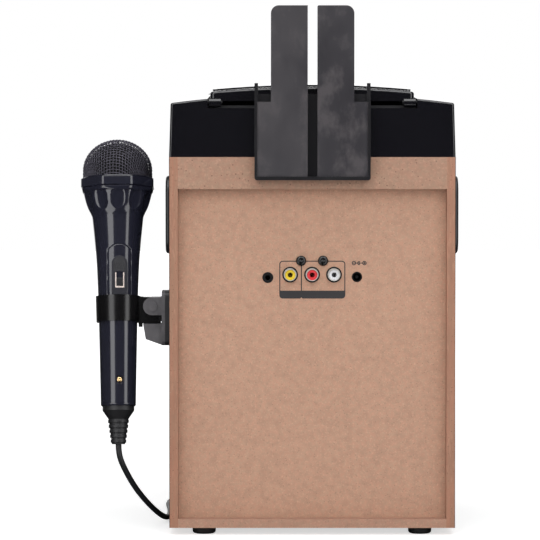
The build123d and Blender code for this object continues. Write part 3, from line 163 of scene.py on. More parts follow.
def add_wall(bm, near, far):
    """Faces that join two loops of points, one in front of the other."""
    for index in range(len(near)):
        bm.faces.new((near[index - 1], near[index], far[index], far[index - 1]))


def add_plate(bm, outline, holes, low, high, place=lambda x, z, depth: (x, depth, z)):
    """A plate with holes right through it, between two depths."""
    for depth in (low, high):
        edges = []
        for loop in [outline] + holes:
            verts = [bm.verts.new(place(x, z, depth)) for x, z in loop]
            edges += [bm.edges.new((verts[index - 1], verts[index])) for index in range(len(verts))]
        bmesh.ops.triangle_fill(bm, edges=edges, use_beauty=True, use_dissolve=False)
    for loop in [outline] + holes:
        add_wall(bm, [bm.verts.new(place(x, z, low)) for x, z in loop],
                 [bm.verts.new(place(x, z, high)) for x, z in loop])
    bmesh.ops.remove_doubles(bm, verts=bm.verts, dist=SAME_PLACE)


def plain_mesh(holder):
    """The mesh of an object as Blender draws it, with its modifiers or its curve worked out."""
    bpy.context.view_layer.update()
    return bpy.data.meshes.new_from_object(holder.evaluated_get(bpy.context.evaluated_depsgraph_get()))


def shade_smooth(mesh):
    for polygon in mesh.polygons:
        polygon.use_smooth = True


def bevelled(obj, width, segments=2):
    """The object with its sharp edges rounded off, as plain mesh."""
    modifier = obj.modifiers.new("bevel", "BEVEL")
    modifier.width = width
    modifier.segments = segments
    modifier.limit_method = "ANGLE"
    modifier.angle_limit = BEVEL_FROM
    modifier.harden_normals = False
    mesh = plain_mesh(obj)
    obj.modifiers.clear()
    obj.data = mesh
    shade_smooth(mesh)
    return obj


def lathe(name, profile, segments=64, axis=(0, 0, 1), origin=(0, 0, 0), closed_ends=True, sharp_angle=30):
    """A turned piece: the profile's (radius, along) points, spun round an axis from an origin."""
    bm = bmesh.new()
    add_rings(bm, [
        [(x, y, along) for x, y in circle_points((0, 0), radius, steps=segments)[:-1]]
        for radius, along in profile], closed_ends)
    place = Vector(axis).to_track_quat("Z", "Y").to_matrix().to_4x4()
    place.translation = origin
    bm.transform(place)
    return finish_mesh(name, bm, sharp_angle=sharp_angle)


# ---- Microphone cord ----

EXIT_X = 0.13275
EXIT_Y = 0.08091
EXIT_Z = 0.06121
COIL_X = 0.042
COIL_Y = -0.146
CORD_DIAMETER = 0.004
CORD_REST = 0.002
COIL_TURN_RADIUS = 0.024
COIL_ROWS = 4
# From where the cord leaves the microphone: how it falls, and then how it runs along the floor.
falling = (
    (0, 0, 0), (-0.00006, 0.00097, -0.00693), (-0.0036, -0.0015, -0.0165), (-0.0105, -0.0125, -0.031),
    (-0.0200, -0.031, -0.0455), (-0.0286, -0.054, 0.005 - EXIT_Z))
on_floor = (
    (-0.0321, -0.078), (-0.0322, -0.106), (-0.0312, -0.134), (-0.0288, -0.164), (-0.0300, -0.188),
    (-0.0442, -0.206), (-0.0612, -0.210))
cord_route = [(EXIT_X + x, EXIT_Y + y, EXIT_Z + z) for x, y, z in falling]
cord_route += [(EXIT_X + x, EXIT_Y + y, CORD_REST) for x, y in on_floor]
cord_route += [(COIL_X + 0.012, COIL_Y + 0.0305, CORD_REST), (COIL_X, COIL_Y + 0.030, CORD_REST)]
CORD_POINTS_PER_TURN = 16
COIL_FULL_TURNS = 14
COIL_LAST_STEPS = 13
JOG_STEPS = 3
# The cord leaves the coil over its outer edge: (angle in degrees, radius, height).
coil_exit = ((50, 0.0305, 0.0140), (68, 0.0335, 0.0130), (86, 0.0350, 0.0102), (104, 0.0348, 0.0076))
PLUG_TAIL = (0.01488, -0.12702, 0.006)
PLUG_AXIS = (-0.8660, -0.5, 0.0)
PLUG_RUN_IN = (0.008, 0.002, -0.003)
CORD_SMOOTHNESS = 4
CORD_ROUNDNESS = 3


def coil_turn(number):
    """Radius and height of one turn: rows go inwards on even layers and outwards on odd ones."""
    layer = number // COIL_ROWS
    row = number % COIL_ROWS
    if layer % 2 == 0:
        row = COIL_ROWS - 1 - row
    inner = COIL_TURN_RADIUS - (COIL_ROWS - 1) / 2 * CORD_DIAMETER
    return inner + row * CORD_DIAMETER, CORD_REST + layer * CORD_DIAMETER


def coil_point(angle, radius, height):
    return (COIL_X + radius * math.cos(angle), COIL_Y + radius * math.sin(angle), height)


def coil_points():
    """The turns of the coil, each jogging to its neighbour over its last few points."""
    points = []
    spline_shrink = (1 + math.cos(math.pi / CORD_POINTS_PER_TURN)) / 2
    steps = COIL_FULL_TURNS * CORD_POINTS_PER_TURN + COIL_LAST_STEPS
    for step in range(1, steps + 1):
        turn, part = divmod(step, CORD_POINTS_PER_TURN)
        radius, height = coil_turn(turn)
        next_radius, next_height = coil_turn(turn + 1)
        share = max(0, part - (CORD_POINTS_PER_TURN - JOG_STEPS)) / JOG_STEPS
        radius += share * (next_radius - radius)
        height += share * (next_height - height)
        angle = math.pi / 2 + 2 * math.pi * step / CORD_POINTS_PER_TURN
        points.append(coil_point(angle, radius / spline_shrink, height))
    for degrees, radius, height in coil_exit:
        points.append(coil_point(math.radians(degrees), radius, height))
    for back in PLUG_RUN_IN:
        points.append(tuple(tail - back * along for tail, along in zip(PLUG_TAIL, PLUG_AXIS)))
    return points


PLUG_TAIL_LENGTH = 0.016
PLUG_BARREL_LENGTH = 0.030
PLUG_PIN_LENGTH = 0.030
PLUG_BARREL_RADIUS = 0.0060
PLUG_TAIL_RADIUS = 0.0034
PLUG_PIN_RADIUS = 0.00315


def make_plug_barrel():
    """The plug's rubber tail with its rings, and the barrel with a waist for the fingers."""
    tail_rings, grip_rings = 5, 3
    profile = [(CORD_DIAMETER * 0.5, 0)]
    for number in range(tail_rings):
        low = 0.0008 + number * PLUG_TAIL_LENGTH / tail_rings
        root = CORD_DIAMETER * 0.56 + 0.0003 * number / tail_rings
        profile += [(root, low), (PLUG_TAIL_RADIUS, low + 0.0006), (PLUG_TAIL_RADIUS, low + 0.0019),
                    (root, low + 0.0024)]
    start = PLUG_TAIL_LENGTH + 0.0005
    end = PLUG_TAIL_LENGTH + PLUG_BARREL_LENGTH
    full = PLUG_BARREL_RADIUS
    profile += [(full - inwards, start + along) for inwards, along in (
        (0.0012, 0), (0.0003, 0.0009), (0, 0.0024), (0.0004, 0.009), (0.0007, 0.014), (0.0002, 0.021))]
    for number in range(grip_rings):
        low = end - 0.0076 + number * 0.0020
        profile += [(full - inwards, low + along) for inwards, along in (
            (0, 0), (0, 0.0012), (0.0005, 0.0014), (0.0005, 0.0018))]
    profile += [(full, end - 0.0014), (full - 0.0004, end)]
    return lathe("plug_barrel", profile, 48, PLUG_AXIS, PLUG_TAIL)


def make_plug_pin():
    """The quarter-inch pin: sleeve, insulating ring and pointed tip."""
    start = PLUG_TAIL_LENGTH + PLUG_BARREL_LENGTH - 0.001
    end = start + 0.001 + PLUG_PIN_LENGTH
    full = PLUG_PIN_RADIUS
    profile = [(full, start)] + [(radius, end - back) for radius, back in (
        (full, 0.0085), (full - 0.0002, 0.0083), (full - 0.0002, 0.0075), (full, 0.0073), (full, 0.0058),
        (0.0021, 0.0042), (0.0021, 0.0038), (full * 0.92, 0.0024), (full * 0.8, 0.0014), (0.0006, 0))]
    return lathe("plug_pin", profile, 48, PLUG_AXIS, PLUG_TAIL)


def make_cord():
    """The cord from the microphone to its plug, round a smooth line; its first run follows the microphone."""
    curve = bpy.data.curves.new("cord_line", "CURVE")
    curve.dimensions = "3D"
    curve.resolution_u = CORD_SMOOTHNESS
    points = cord_route + coil_points()
    spline = curve.splines.new("NURBS")
    spline.points.add(len(points) - 1)
    for point, place in zip(spline.points, points):
        point.co = (*place, 1)
    spline.order_u = 3
    spline.use_endpoint_u = True
    holder = add_object("curve_holder", curve)
    path = [tuple(vertex.co) for vertex in plain_mesh(holder).vertices]
    curve.bevel_depth = CORD_DIAMETER / 2
    curve.bevel_resolution = CORD_ROUNDNESS
    curve.use_fill_caps = True
    tube = plain_mesh(holder)
    bpy.data.objects.remove(holder)
    shade_smooth(tube)
    cord = add_object("cord", tube)
    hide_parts("mic_cord", "mic_cord_coil")
    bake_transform(cord)
    return cord


plug_barrel = make_plug_barrel()
plug_pin = make_plug_pin()
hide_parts("mic_plug")
cord = make_cord()


# ---- Shader nodes ----

# Where a mix node keeps its factor, its two colours and its result.
MIX_FACTOR, MIX_FIRST, MIX_SECOND, MIX_RESULT = 0, 6, 7, 2


class Nodes:
    """A shader's node tree, with short calls that add nodes and wire them together."""

    def __init__(self, tree):
        self.tree = tree

    def feed(self, socket, value):
        """Gives a socket a value, or wires another node's output to it."""
        if isinstance(value, bpy.types.NodeSocket):
            self.tree.links.new(value, socket)
        else:
            socket.default_value = (*value, 1) if socket.type == "RGBA" else value

    def new(self, kind, inputs=(), **settings):
        node = self.tree.nodes.new("ShaderNode" + kind)
        for key, value in settings.items():
            setattr(node, key, value)
        for name, value in dict(inputs).items():
            self.feed(node.inputs[name], value)
        return node

    def spread(self, value, low, high, to_low=0.0, to_high=1.0):
        """A value's range carried over to another, and held at its ends."""
        inputs = {"Value": value, "From Min": low, "From Max": high, "To Min": to_low, "To Max": to_high}
        return self.new("MapRange", inputs).outputs["Result"]

    def math(self, operation, *values):
        return self.new("Math", enumerate(values), operation=operation).outputs[0]

    def mix(self, factor, first, second):
        """A colour between two, each a colour or an output."""
        inputs = {MIX_FACTOR: factor, MIX_FIRST: first, MIX_SECOND: second}
        return self.new("Mix", inputs, data_type="RGBA").outputs[MIX_RESULT]

    def split(self, place):
        """The X, Y and Z of a texture coordinate."""
        return self.new("SeparateXYZ", {0: self.new("TexCoord").outputs[place]}).outputs


# ---- World, floor and lamps ----

WORLD_FILL = 0.38
WORLD_DARK = 0.05
WORLD_BEHIND = 1.4
WORLD_DARK_FROM, WORLD_WHITE_FROM = -0.66, -0.93
WORLD_LOW_TO, WORLD_HIGH_FROM = 0.30, 0.42
FLOOR_SIZE = 12.0
FLOOR_GLOW = 0.62
FLOOR_WHITE = (0.86, 0.86, 0.86)
FLOOR_DARK = (0.03, 0.03, 0.03)
FLOOR_WEDGE = 1.3
FLOOR_PALE_TO, FLOOR_DARK_FROM = -1.0, -0.3
FLOOR_NEAR, FLOOR_FAR = 0.6, 1.6
LOOK_AT = Vector((0.0288, 0.03, 0.19))
JUST_OVER_FLOOR = 0.003


def make_world():
    """A pale studio: white behind the object, dimmer on the camera's side, as the glossy parts show it."""
    world = bpy.data.worlds.new("studio")
    scene.world = world
    world.use_nodes = True
    tree = Nodes(world.node_tree)
    tree.tree.nodes.clear()
    ray = tree.new("LightPath").outputs
    where = tree.split("Generated")
    level = tree.spread(where["Y"], WORLD_DARK_FROM, WORLD_WHITE_FROM, WORLD_DARK, WORLD_BEHIND)
    low_part = tree.spread(where["Z"], WORLD_LOW_TO, WORLD_HIGH_FROM, WORLD_BEHIND, WORLD_DARK)
    behind = tree.math("MINIMUM", level, low_part)
    shiny = tree.math("MAXIMUM", ray["Is Glossy Ray"], ray["Is Transmission Ray"])
    glossy = tree.new("Mix", {"Factor": shiny, "A": WORLD_FILL, "B": behind}).outputs["Result"]
    seen = tree.new("Mix", {"Factor": ray["Is Camera Ray"], "A": glossy, "B": 1.0}).outputs["Result"]
    background = tree.new("Background", {"Color": (1, 1, 1), "Strength": seen})
    tree.new("OutputWorld", {"Surface": background.outputs[0]})


def make_floor():
    """A pale floor, white far away. In glossy parts it is pale straight behind and dark elsewhere."""
    bm = bmesh.new()
    half = FLOOR_SIZE / 2
    bm.faces.new([bm.verts.new((x, y, 0)) for x, y in rectangle(-half, -half, half, half)])
    floor = finish_mesh("floor", bm)
    material = bpy.data.materials.new("floor")
    material.use_nodes = True
    tree = Nodes(material.node_tree)
    tree.tree.nodes.clear()
    ray = tree.new("LightPath").outputs
    where = tree.split("Object")
    place = tree.new("TexCoord").outputs["Object"]
    away = tree.new("VectorMath", {0: place}, operation="LENGTH").outputs["Value"]
    wedge = tree.math("MULTIPLY_ADD", tree.math("ABSOLUTE", where["X"]), FLOOR_WEDGE, where["Y"])
    dark_here = tree.spread(wedge, FLOOR_PALE_TO, FLOOR_DARK_FROM)
    in_gloss = tree.math("MULTIPLY", ray["Is Glossy Ray"], tree.spread(dark_here, 0.0, 1.0, FLOOR_GLOW, 0.0))
    glow_here = tree.spread(away, FLOOR_NEAR, FLOOR_FAR, FLOOR_GLOW, 1.0)
    in_view = tree.math("MULTIPLY", ray["Is Camera Ray"], glow_here)
    glow = tree.new("Emission", {"Strength": tree.math("ADD", in_gloss, in_view)})
    dark_in_gloss = tree.math("MULTIPLY", ray["Is Glossy Ray"], dark_here)
    plain = tree.new("BsdfDiffuse", {"Color": tree.mix(dark_in_gloss, FLOOR_WHITE, FLOOR_DARK)})
    both = tree.new("AddShader", {0: plain.outputs[0], 1: glow.outputs[0]})
    tree.new("OutputMaterial", {"Surface": both.outputs[0]})
    floor.data.materials.append(material)


def softbox(name, azimuth, elevation, distance, width, height, strength, in_gloss=True, on_dull=True):
    """A soft lamp round the object. Azimuth 0 is behind the camera (+Y) and grows towards +X."""
    data = bpy.data.lights.new(name, "AREA")
    data.shape = "RECTANGLE"
    data.size = width
    data.size_y = height
    data.energy = strength * width * height * math.pi
    lamp = add_object(name, data)
    turn = math.radians(azimuth)
    rise = math.radians(elevation)
    away = Vector((math.sin(turn) * math.cos(rise), math.cos(turn) * math.cos(rise), math.sin(rise)))
    lamp.location = LOOK_AT + away * distance
    lamp.rotation_euler = away.to_track_quat("Z", "Y").to_euler()
    lamp.visible_camera = False
    lamp.visible_glossy = in_gloss
    lamp.visible_diffuse = on_dull
    return lamp


def floor_strip(name, middle, azimuth, width, length, strength):
    """A strip that only glossy parts show, lying on the floor and running away from the microphone."""
    lamp = softbox(name, 0, 90, 0.1, width, length, strength, on_dull=False)
    lamp.location = (*middle, JUST_OVER_FLOOR)
    lamp.rotation_euler = (math.pi, 0, -math.radians(azimuth))


make_world()
make_floor()
softbox("strip_towards_mic", 36.6, 0, 0.80, width=0.34, height=2.0, strength=2.9, on_dull=False)
softbox("strip_away_from_mic", -43.8, 0, 0.658, width=0.25, height=2.0, strength=2.9, on_dull=False)
floor_strip("low_strip_towards_mic", (0.382, 0.469), 31.4, width=0.22, length=0.48, strength=2.6)
floor_strip("low_strip_away_from_mic", (-0.236, 0.357), -52, width=0.16, length=0.48, strength=2.6)
softbox("overhead_in_gloss", 0, 70, 1.6, width=1.9, height=1.7, strength=3.3, on_dull=False)
softbox("front", 0, 22, 1.7, width=1.5, height=1.2, strength=2.75, in_gloss=False)
softbox("overhead", 0, 68, 1.6, width=1.9, height=0.34, strength=2.4, in_gloss=False)


# ---- Materials ----

class Surface(Nodes):
    """One procedural material: a Principled shader and the nodes wired to its sockets."""

    def __init__(self, name, color, roughness, **sockets):
        self.name = name
        self.material = bpy.data.materials.new(name)
        self.material.use_nodes = True
        super().__init__(self.material.node_tree)
        self.shader = self.tree.nodes["Principled BSDF"]
        self.wire(Base_Color=color, Roughness=roughness, **sockets)
        self.place = self.new("TexCoord").outputs["Object"]
        self.height = None

    def wire(self, **sockets):
        """Feeds the shader's own sockets, named with _ for each space."""
        for name, value in sockets.items():
            self.feed(self.shader.inputs[name.replace("_", " ")], value)

    def noise(self, scale, detail=4.0, roughness=0.55, stretch=(1, 1, 1)):
        """Noise of about one feature per 1/scale metres, drawn out along any axis."""
        place = self.new("Mapping", {"Vector": self.place, "Scale": stretch}).outputs[0]
        inputs = {"Vector": place, "Scale": scale, "Detail": detail, "Roughness": roughness}
        return self.new("TexNoise", inputs).outputs["Fac"]

    def cells(self, scale, feature="F1"):
        cells = self.new("TexVoronoi", {"Vector": self.place, "Scale": scale}, feature=feature)
        return cells.outputs["Distance"]

    def bump(self, value, depth):
        """Adds relief of that depth in metres. Calls add up."""
        inputs = {"Strength": 1.0, "Distance": depth, "Height": value}
        if self.height:
            inputs["Normal"] = self.height
        self.height = self.new("Bump", inputs).outputs["Normal"]
        self.wire(Normal=self.height)


def shade(color, factor):
    return tuple(min(1.0, channel * factor) for channel in color)


def moulded(name, color, roughness, grain=900, depth=0.00001, smear=0.08, tone=0.12, **sockets):
    """Moulded plastic: a fine grain, smears in its gloss and a little drift in its tone."""
    surface = Surface(name, color, roughness, **sockets)
    smears = surface.noise(28, 5, 0.6, (1, 1, 0.45))
    drift = surface.spread(surface.noise(9, 3, 0.5), 0.3, 0.7)
    surface.wire(Roughness=surface.spread(smears, 0.3, 0.75, roughness - smear / 2, roughness + smear),
                 Base_Color=surface.mix(drift, shade(color, 1 - tone), shade(color, 1 + tone)))
    surface.bump(surface.noise(grain, 2, 0.5), depth)
    return surface


def rubber(name, color, roughness):
    return moulded(name, color, roughness, 1200, 0.00003, 0.12)


def metal(name, color, roughness, brushed=(1, 1, 1)):
    """Metal with fine scratches, drawn out where it is brushed."""
    surface = Surface(name, color, roughness, Metallic=1.0)
    stains = surface.noise(40, 4, 0.6)
    surface.wire(Roughness=surface.spread(stains, 0.3, 0.7, roughness * 0.75, roughness * 1.4),
                 Base_Color=surface.mix(surface.spread(stains, 0.35, 0.8), color, shade(color, 0.8)))
    surface.bump(surface.noise(700, 3, 0.6, brushed), 0.00001)
    return surface


MDF_FACE = (0.505, 0.305, 0.212)
MDF_EDGE = (0.384, 0.201, 0.132)
SIDE_SKIN_FROM = 0.0972
VINYL_BLACK = (0.012, 0.012, 0.013)
HOLDER_GREY = (0.085, 0.080, 0.087)
HOLDER_PLATE_BLACK = (0.014, 0.013, 0.015)
HOLDER_PLATE_TO = 0.1007
PAINT_EDGE = 0.0002


def fibreboard(name, color, fleck=0.5, fine=1.0, grain=(1, 1, 1)):
    """Raw fibreboard: pressed wood fibre, mottled in soft patches, with fine dark and pale flecks."""
    surface = Surface(name, color, 0.78, Specular_IOR_Level=0.25)
    patches = surface.spread(surface.noise(14, 5, 0.6), 0.3, 0.7, 0.0, 0.35)
    clouds = surface.noise(190, 4, 0.65, grain)
    fibre = surface.noise(760 * fine, 3, 0.6, grain)
    tint = surface.spread(surface.noise(480 * fine, 2, 0.5, grain), 0.40, 0.60)
    dark_fleck = surface.spread(surface.cells(430 * fine), 0.34, 0.12)
    red, green, blue = color
    ruddy, sallow = (red * 1.06, green * 0.97, blue * 0.96), (red * 0.97, green * 1.01, blue * 1.0)
    tinted = surface.mix(tint, ruddy, sallow)
    patched = surface.mix(patches, tinted, shade(color, 1.10))
    clouded = surface.mix(surface.spread(clouds, 0.42, 0.66, 0.0, 0.6), patched, shade(color, 0.80))
    pale = surface.mix(surface.spread(fibre, 0.52, 0.68, 0.0, 0.6), clouded, shade(color, 1.34))
    flecks = surface.spread(surface.math("MULTIPLY", dark_fleck, fibre), 0.28, 0.55, 0.0, fleck)
    surface.wire(Base_Color=surface.mix(flecks, pale, shade(color, 0.45)))
    surface.bump(fibre, 0.00006)
    surface.bump(clouds, 0.00008)
    return surface


def vinyl_sided_board():
    """A side board: fibreboard at its edges and inside, black vinyl wrap with a leather grain outside."""
    surface = fibreboard("side_board", MDF_EDGE, 0.55, 1.0, (1, 1, 0.16))
    wood = surface.shader.inputs["Base Color"].links[0].from_socket
    across = surface.math("ABSOLUTE", surface.split("Object")["X"])
    outside = surface.math("GREATER_THAN", across, SIDE_SKIN_FROM)
    surface.wire(Base_Color=surface.mix(outside, wood, VINYL_BLACK),
                 Roughness=surface.spread(outside, 0, 1, 0.78, 0.42))
    surface.bump(surface.math("MULTIPLY", surface.cells(650, "SMOOTH_F1"), outside), 0.00022)
    return surface


def circuit_board():
    surface = Surface("circuit_board", (0.03, 0.14, 0.06), 0.35, Coat_Weight=0.3)
    tracks = surface.cells(260)
    by_track = surface.spread(tracks, 0.35, 0.5)
    surface.wire(Base_Color=surface.mix(by_track, (0.02, 0.10, 0.045), (0.05, 0.20, 0.08)))
    surface.bump(tracks, 0.00005)
    return surface


def pressed_paper():
    surface = Surface("cone_paper", (0.03, 0.03, 0.031), 0.85)
    fibres = surface.noise(600, 4, 0.7)
    surface.wire(Base_Color=surface.mix(fibres, (0.018, 0.018, 0.018), (0.05, 0.05, 0.05)))
    surface.bump(fibres, 0.0001)
    return surface


def clear_window():
    """Smoked clear plastic with faint smears."""
    surface = Surface("smoked_window", (0.16, 0.16, 0.17), 0.06, Transmission_Weight=0.9, IOR=1.49)
    surface.wire(Roughness=surface.spread(surface.noise(35, 4), 0.4, 0.8, 0.04, 0.14))
    return surface


def smudged_grey():
    """The cradle's dark grey plastic: satin, with cloudy handling marks, and painted light and shade: the arm
    towards +X is painted lighter than the other.
    """
    surface = Surface("smudged_grey", (0.058, 0.054, 0.062), 0.42, Specular_IOR_Level=0.4)
    clouds = surface.spread(surface.noise(15, 4, 0.55, (1, 1, 0.5)), 0.36, 0.62)
    blotches = surface.noise(60, 5, 0.65, (1, 1, 0.7))
    # Painted light and shade: the arm towards +X gets a lit copy of the colour, the other arm a shaded copy.
    painted_light_side = surface.spread(surface.split("Object")["X"], -0.02, 0.02)
    dark = surface.mix(clouds, (0.019, 0.017, 0.022), (0.034, 0.031, 0.037))
    light = surface.mix(clouds, (0.031, 0.029, 0.035), (0.055, 0.050, 0.055))
    marks = surface.spread(blotches, 0.50, 0.66, 0, 0.55)
    surface.wire(Base_Color=surface.mix(marks, surface.mix(painted_light_side, dark, light), (0.078, 0.067, 0.072)),
                 Roughness=surface.spread(blotches, 0.3, 0.7, 0.36, 0.52))
    surface.bump(surface.noise(1500, 2), 0.000012)
    return surface


def holder_plastic():
    """The holder's plastic: satin grey cheeks and gusset, and a darker plate against the cabinet."""
    surface = Surface("holder_grey", HOLDER_GREY, 0.46)
    smears = surface.noise(90, 5, 0.6)
    lit = surface.mix(surface.spread(smears, 0.35, 0.7), shade(HOLDER_GREY, 0.82), shade(HOLDER_GREY, 1.2))
    across = surface.split("Object")["X"]
    by_plate = surface.spread(across, HOLDER_PLATE_TO - PAINT_EDGE, HOLDER_PLATE_TO + PAINT_EDGE, 1.0, 0.0)
    surface.wire(Base_Color=surface.mix(by_plate, lit, HOLDER_PLATE_BLACK),
                 Roughness=surface.spread(smears, 0.3, 0.7, 0.4, 0.55))
    surface.bump(surface.noise(1400, 2, 0.5), 0.00003)
    return surface


# Each surface, with the CAD nodes that wear it.
surfaces = (
    (fibreboard("board_face", MDF_FACE), "back_panel"),
    (fibreboard("board_rough", shade(MDF_FACE, 0.80), 0.85, 0.8), "rear_top_rail"),
    (fibreboard("board_edge", (0.432, 0.256, 0.182)), "bottom_panel", "corner_cleats"),
    (fibreboard("stained_board", (0.012, 0.011, 0.011), 0.3), "front_baffle"),
    (vinyl_sided_board(), "side_panel_left", "side_panel_right"),
    (holder_plastic(), "mic_holder"),
    (smudged_grey(), "cradle_arms"),
    (clear_window(), "lid_window", "display_lens"),
    (circuit_board(), "control_board", "main_board"),
    (pressed_paper(), "speaker_cone"),
    (moulded("gloss_black", (0.0048, 0.0046, 0.0072), 0.14, 500, 0.000004, 0.05, Coat_Weight=0.35,
             Coat_Roughness=0.06), "top_housing", "disc_lid"),
    (moulded("satin_black", (0.016, 0.016, 0.018), 0.36, 1100, 0.00002),
     "handle_cup_left", "handle_cup_right", "front_fascia", "disc_tray"),
    (moulded("sleeve_black", (0.0085, 0.0080, 0.0100), 0.34, smear=0.1), "cradle_sleeve"),
    (moulded("clip_black", (0.0045, 0.0042, 0.0048), 0.2, 600), "mic_clip"),
    (moulded("navy_gloss", (0.018, 0.0185, 0.031), 0.13, 500, 0.000005, 0.05, Coat_Weight=0.4,
             Coat_Roughness=0.05), "mic_collar", "mic_body"),
    (moulded("navy_satin", (0.022, 0.022, 0.030), 0.3, Coat_Weight=0.15),),
    (moulded("socket_black", (0.006, 0.006, 0.007), 0.45, Specular_IOR_Level=0.25),
     "jack_block", "aux_jack", "dc_jack", "lid_hinge_pins"),
    (moulded("screw_black", (0.004, 0.004, 0.0045), 0.2, smear=0.06),),
    (moulded("plated_shell", (0.62, 0.59, 0.55), 0.3, tone=0.06, Metallic=0.35), "rca_shells"),
    (moulded("yellow", (0.86, 0.62, 0.02), 0.3, tone=0.08), "rca_insert_yellow"),
    (moulded("red", (0.78, 0.035, 0.045), 0.3, tone=0.08), "rca_insert_red"),
    (moulded("white", (0.76, 0.77, 0.80), 0.3, tone=0.04), "rca_insert_white"),
    (moulded("silver_plastic", (0.42, 0.42, 0.43), 0.3, 1600, tone=0.05, Metallic=0.75),
     "lid_button", "play_button", "stop_button", "skip_button", "power_button", "volume_knob", "echo_knob"),
    (moulded("grey_plastic", (0.16, 0.16, 0.17), 0.45, 1100, 0.00002),
     "turntable_hub", "pickup_sled", "sled_gear", "mic_capsule", "mic_switch"),
    (moulded("ferrite", (0.045, 0.045, 0.048), 0.6, 700, 0.00005), "speaker_magnet"),
    (moulded("print_black", (0.021, 0.019, 0.021), 0.6),),
    (moulded("off_white_print", (0.78, 0.66, 0.60), 0.5, smear=0.05, tone=0.03),),
    (moulded("grille_steel", (0.016, 0.016, 0.017), 0.42, 1400, 0.00002),),
    (moulded("thumb_grey", (0.014, 0.0138, 0.0175), 0.6, 2500, 0.00006),),
    (rubber("rubber", (0.012, 0.012, 0.013), 0.55), "rubber_feet", "damper_mounts"),
    (rubber("cord_jacket", (0.014, 0.014, 0.016), 0.42), "mic_relief", "mic_cord", "mic_cord_coil"),
    (rubber("foam", (0.0015, 0.0015, 0.002), 0.95),),
    (rubber("tie_fabric", (0.014, 0.014, 0.015), 0.85),),
    (metal("black_steel", (0.05, 0.05, 0.055), 0.35), "foot_screws", "jack_screws"),
    (metal("steel", (0.60, 0.60, 0.61), 0.3, (1, 1, 12)),
     "speaker_frame", "mech_chassis", "guide_rods", "drive_motors"),
    (metal("nickel", (0.86, 0.85, 0.83), 0.22, (1, 8, 1)), "mic_jacks"),
    (metal("brass", (0.80, 0.58, 0.30), 0.28),),
    (metal("mesh_black", (0.118, 0.112, 0.138), 0.52), "speaker_grille", "mic_grille"),
)
materials = {}
for surface, *wearers in surfaces:
    materials[surface.name] = surface.material
    for wearer in wearers:
        for slot in nodes[wearer].material_slots:
            slot.material = surface.material


def dress(obj, name):
    obj.data.materials.clear()
    obj.data.materials.append(materials[name])


dress(cord, "cord_jacket")


def add_piece(obj, material, body, record_slot, *replaced):
    """Gives a piece its look and its body, and hides the CAD nodes it stands for. Its record_slot is not
    used.
    """
    dress(obj, material)
    if replaced:
        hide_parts(*replaced)
    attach(obj, body)


# ---- Microphone ----

MIC_X = 0.1335
MIC_Y = 0.068
MIC_TILT = math.radians(8)
MIC_ROLL = math.radians(0.46)
FACE_TURN = math.radians(7)
CLIP_MIDDLE = 0.1531
GRILLE_CENTRE = 0.2492
GRILLE_RADIUS = 0.0241
GRILLE_TOP = 0.2710
GRILLE_FOOT = 0.2429
WIRE_PITCH = 0.00218
WIRE_RADIUS = 0.00024
WEAVE = 0.00028
WIRE_SIDES = 6
NET_TURN = math.radians(12)
PRESS_STEPS, PITCH_STEPS, CROSSING_STEPS = 6, 4, 8
FOAM_GAP = 0.0022
FOAM_BELOW = 0.001
FOAM_CROWN = 0.0005
HEM_UP = 0.0005
HEM_RADIUS = 0.0006
wire_reach = GRILLE_RADIUS - WIRE_RADIUS - WEAVE
wire_rise = GRILLE_TOP - GRILLE_CENTRE - WIRE_RADIUS - WEAVE


def place_at_mic(obj):
    """Moves a mesh made round the microphone's own axis to where it hangs, leaning about its clip."""
    obj.data.transform(
        Matrix.Translation((MIC_X, MIC_Y, CLIP_MIDDLE)) @ Matrix.Rotation(MIC_TILT, 4, "X")
        @ Matrix.Rotation(MIC_ROLL, 4, "Y") @ Matrix.Rotation(FACE_TURN, 4, "Z")
        @ Matrix.Translation((0, 0, -CLIP_MIDDLE)))
    return obj


def dome_form(point):
    """How far a point is from the wire dome: 0 on it. The dome is an ellipsoid on a short cylinder."""
    x, y, z = point
    above = max(0.0, z - GRILLE_CENTRE)
    return (x * x + y * y) / wire_reach ** 2 + above * above / wire_rise ** 2 - 1


def dome_normal(point):
    x, y, z = point
    above = max(0.0, z - GRILLE_CENTRE)
    return Vector((x / wire_reach ** 2, y / wire_reach ** 2, above / wire_rise ** 2))


def press_to_dome(point):
    for _ in range(PRESS_STEPS):
        slope = dome_normal(point)
        point = point - slope * (dome_form(point) / (2 * slope.length_squared))
    return point


def spine_points():
    """Crossings along one wire that runs over the pole, a pitch apart."""
    points = [Vector((0, 0, GRILLE_CENTRE + wire_rise))]
    while points[-1].z > GRILLE_FOOT - WIRE_PITCH:
        last = points[-1]
        ahead = Vector((dome_normal(last).z, 0, -dome_normal(last).x)).normalized()
        guess = press_to_dome(last + ahead * WIRE_PITCH)
        for _ in range(PITCH_STEPS):
            guess = press_to_dome(last + (guess - last).normalized() * WIRE_PITCH)
        points.append(guess)
    return points


def next_crossing(before_x, before_y, corner):
    """The net's next crossing: a pitch from both neighbours, and on the dome."""
    point = np.array(before_x + before_y - corner)
    first, second = np.array(before_x), np.array(before_y)
    for _ in range(CROSSING_STEPS):
        slope = 2 * np.array(dome_normal(point))
        rows = np.array([2 * (point - first), 2 * (point - second), slope])
        misses = np.array([
            (point - first) @ (point - first) - WIRE_PITCH ** 2,
            (point - second) @ (point - second) - WIRE_PITCH ** 2, dome_form(point)])
        point = point - np.linalg.solve(rows, misses)
    return Vector(point)


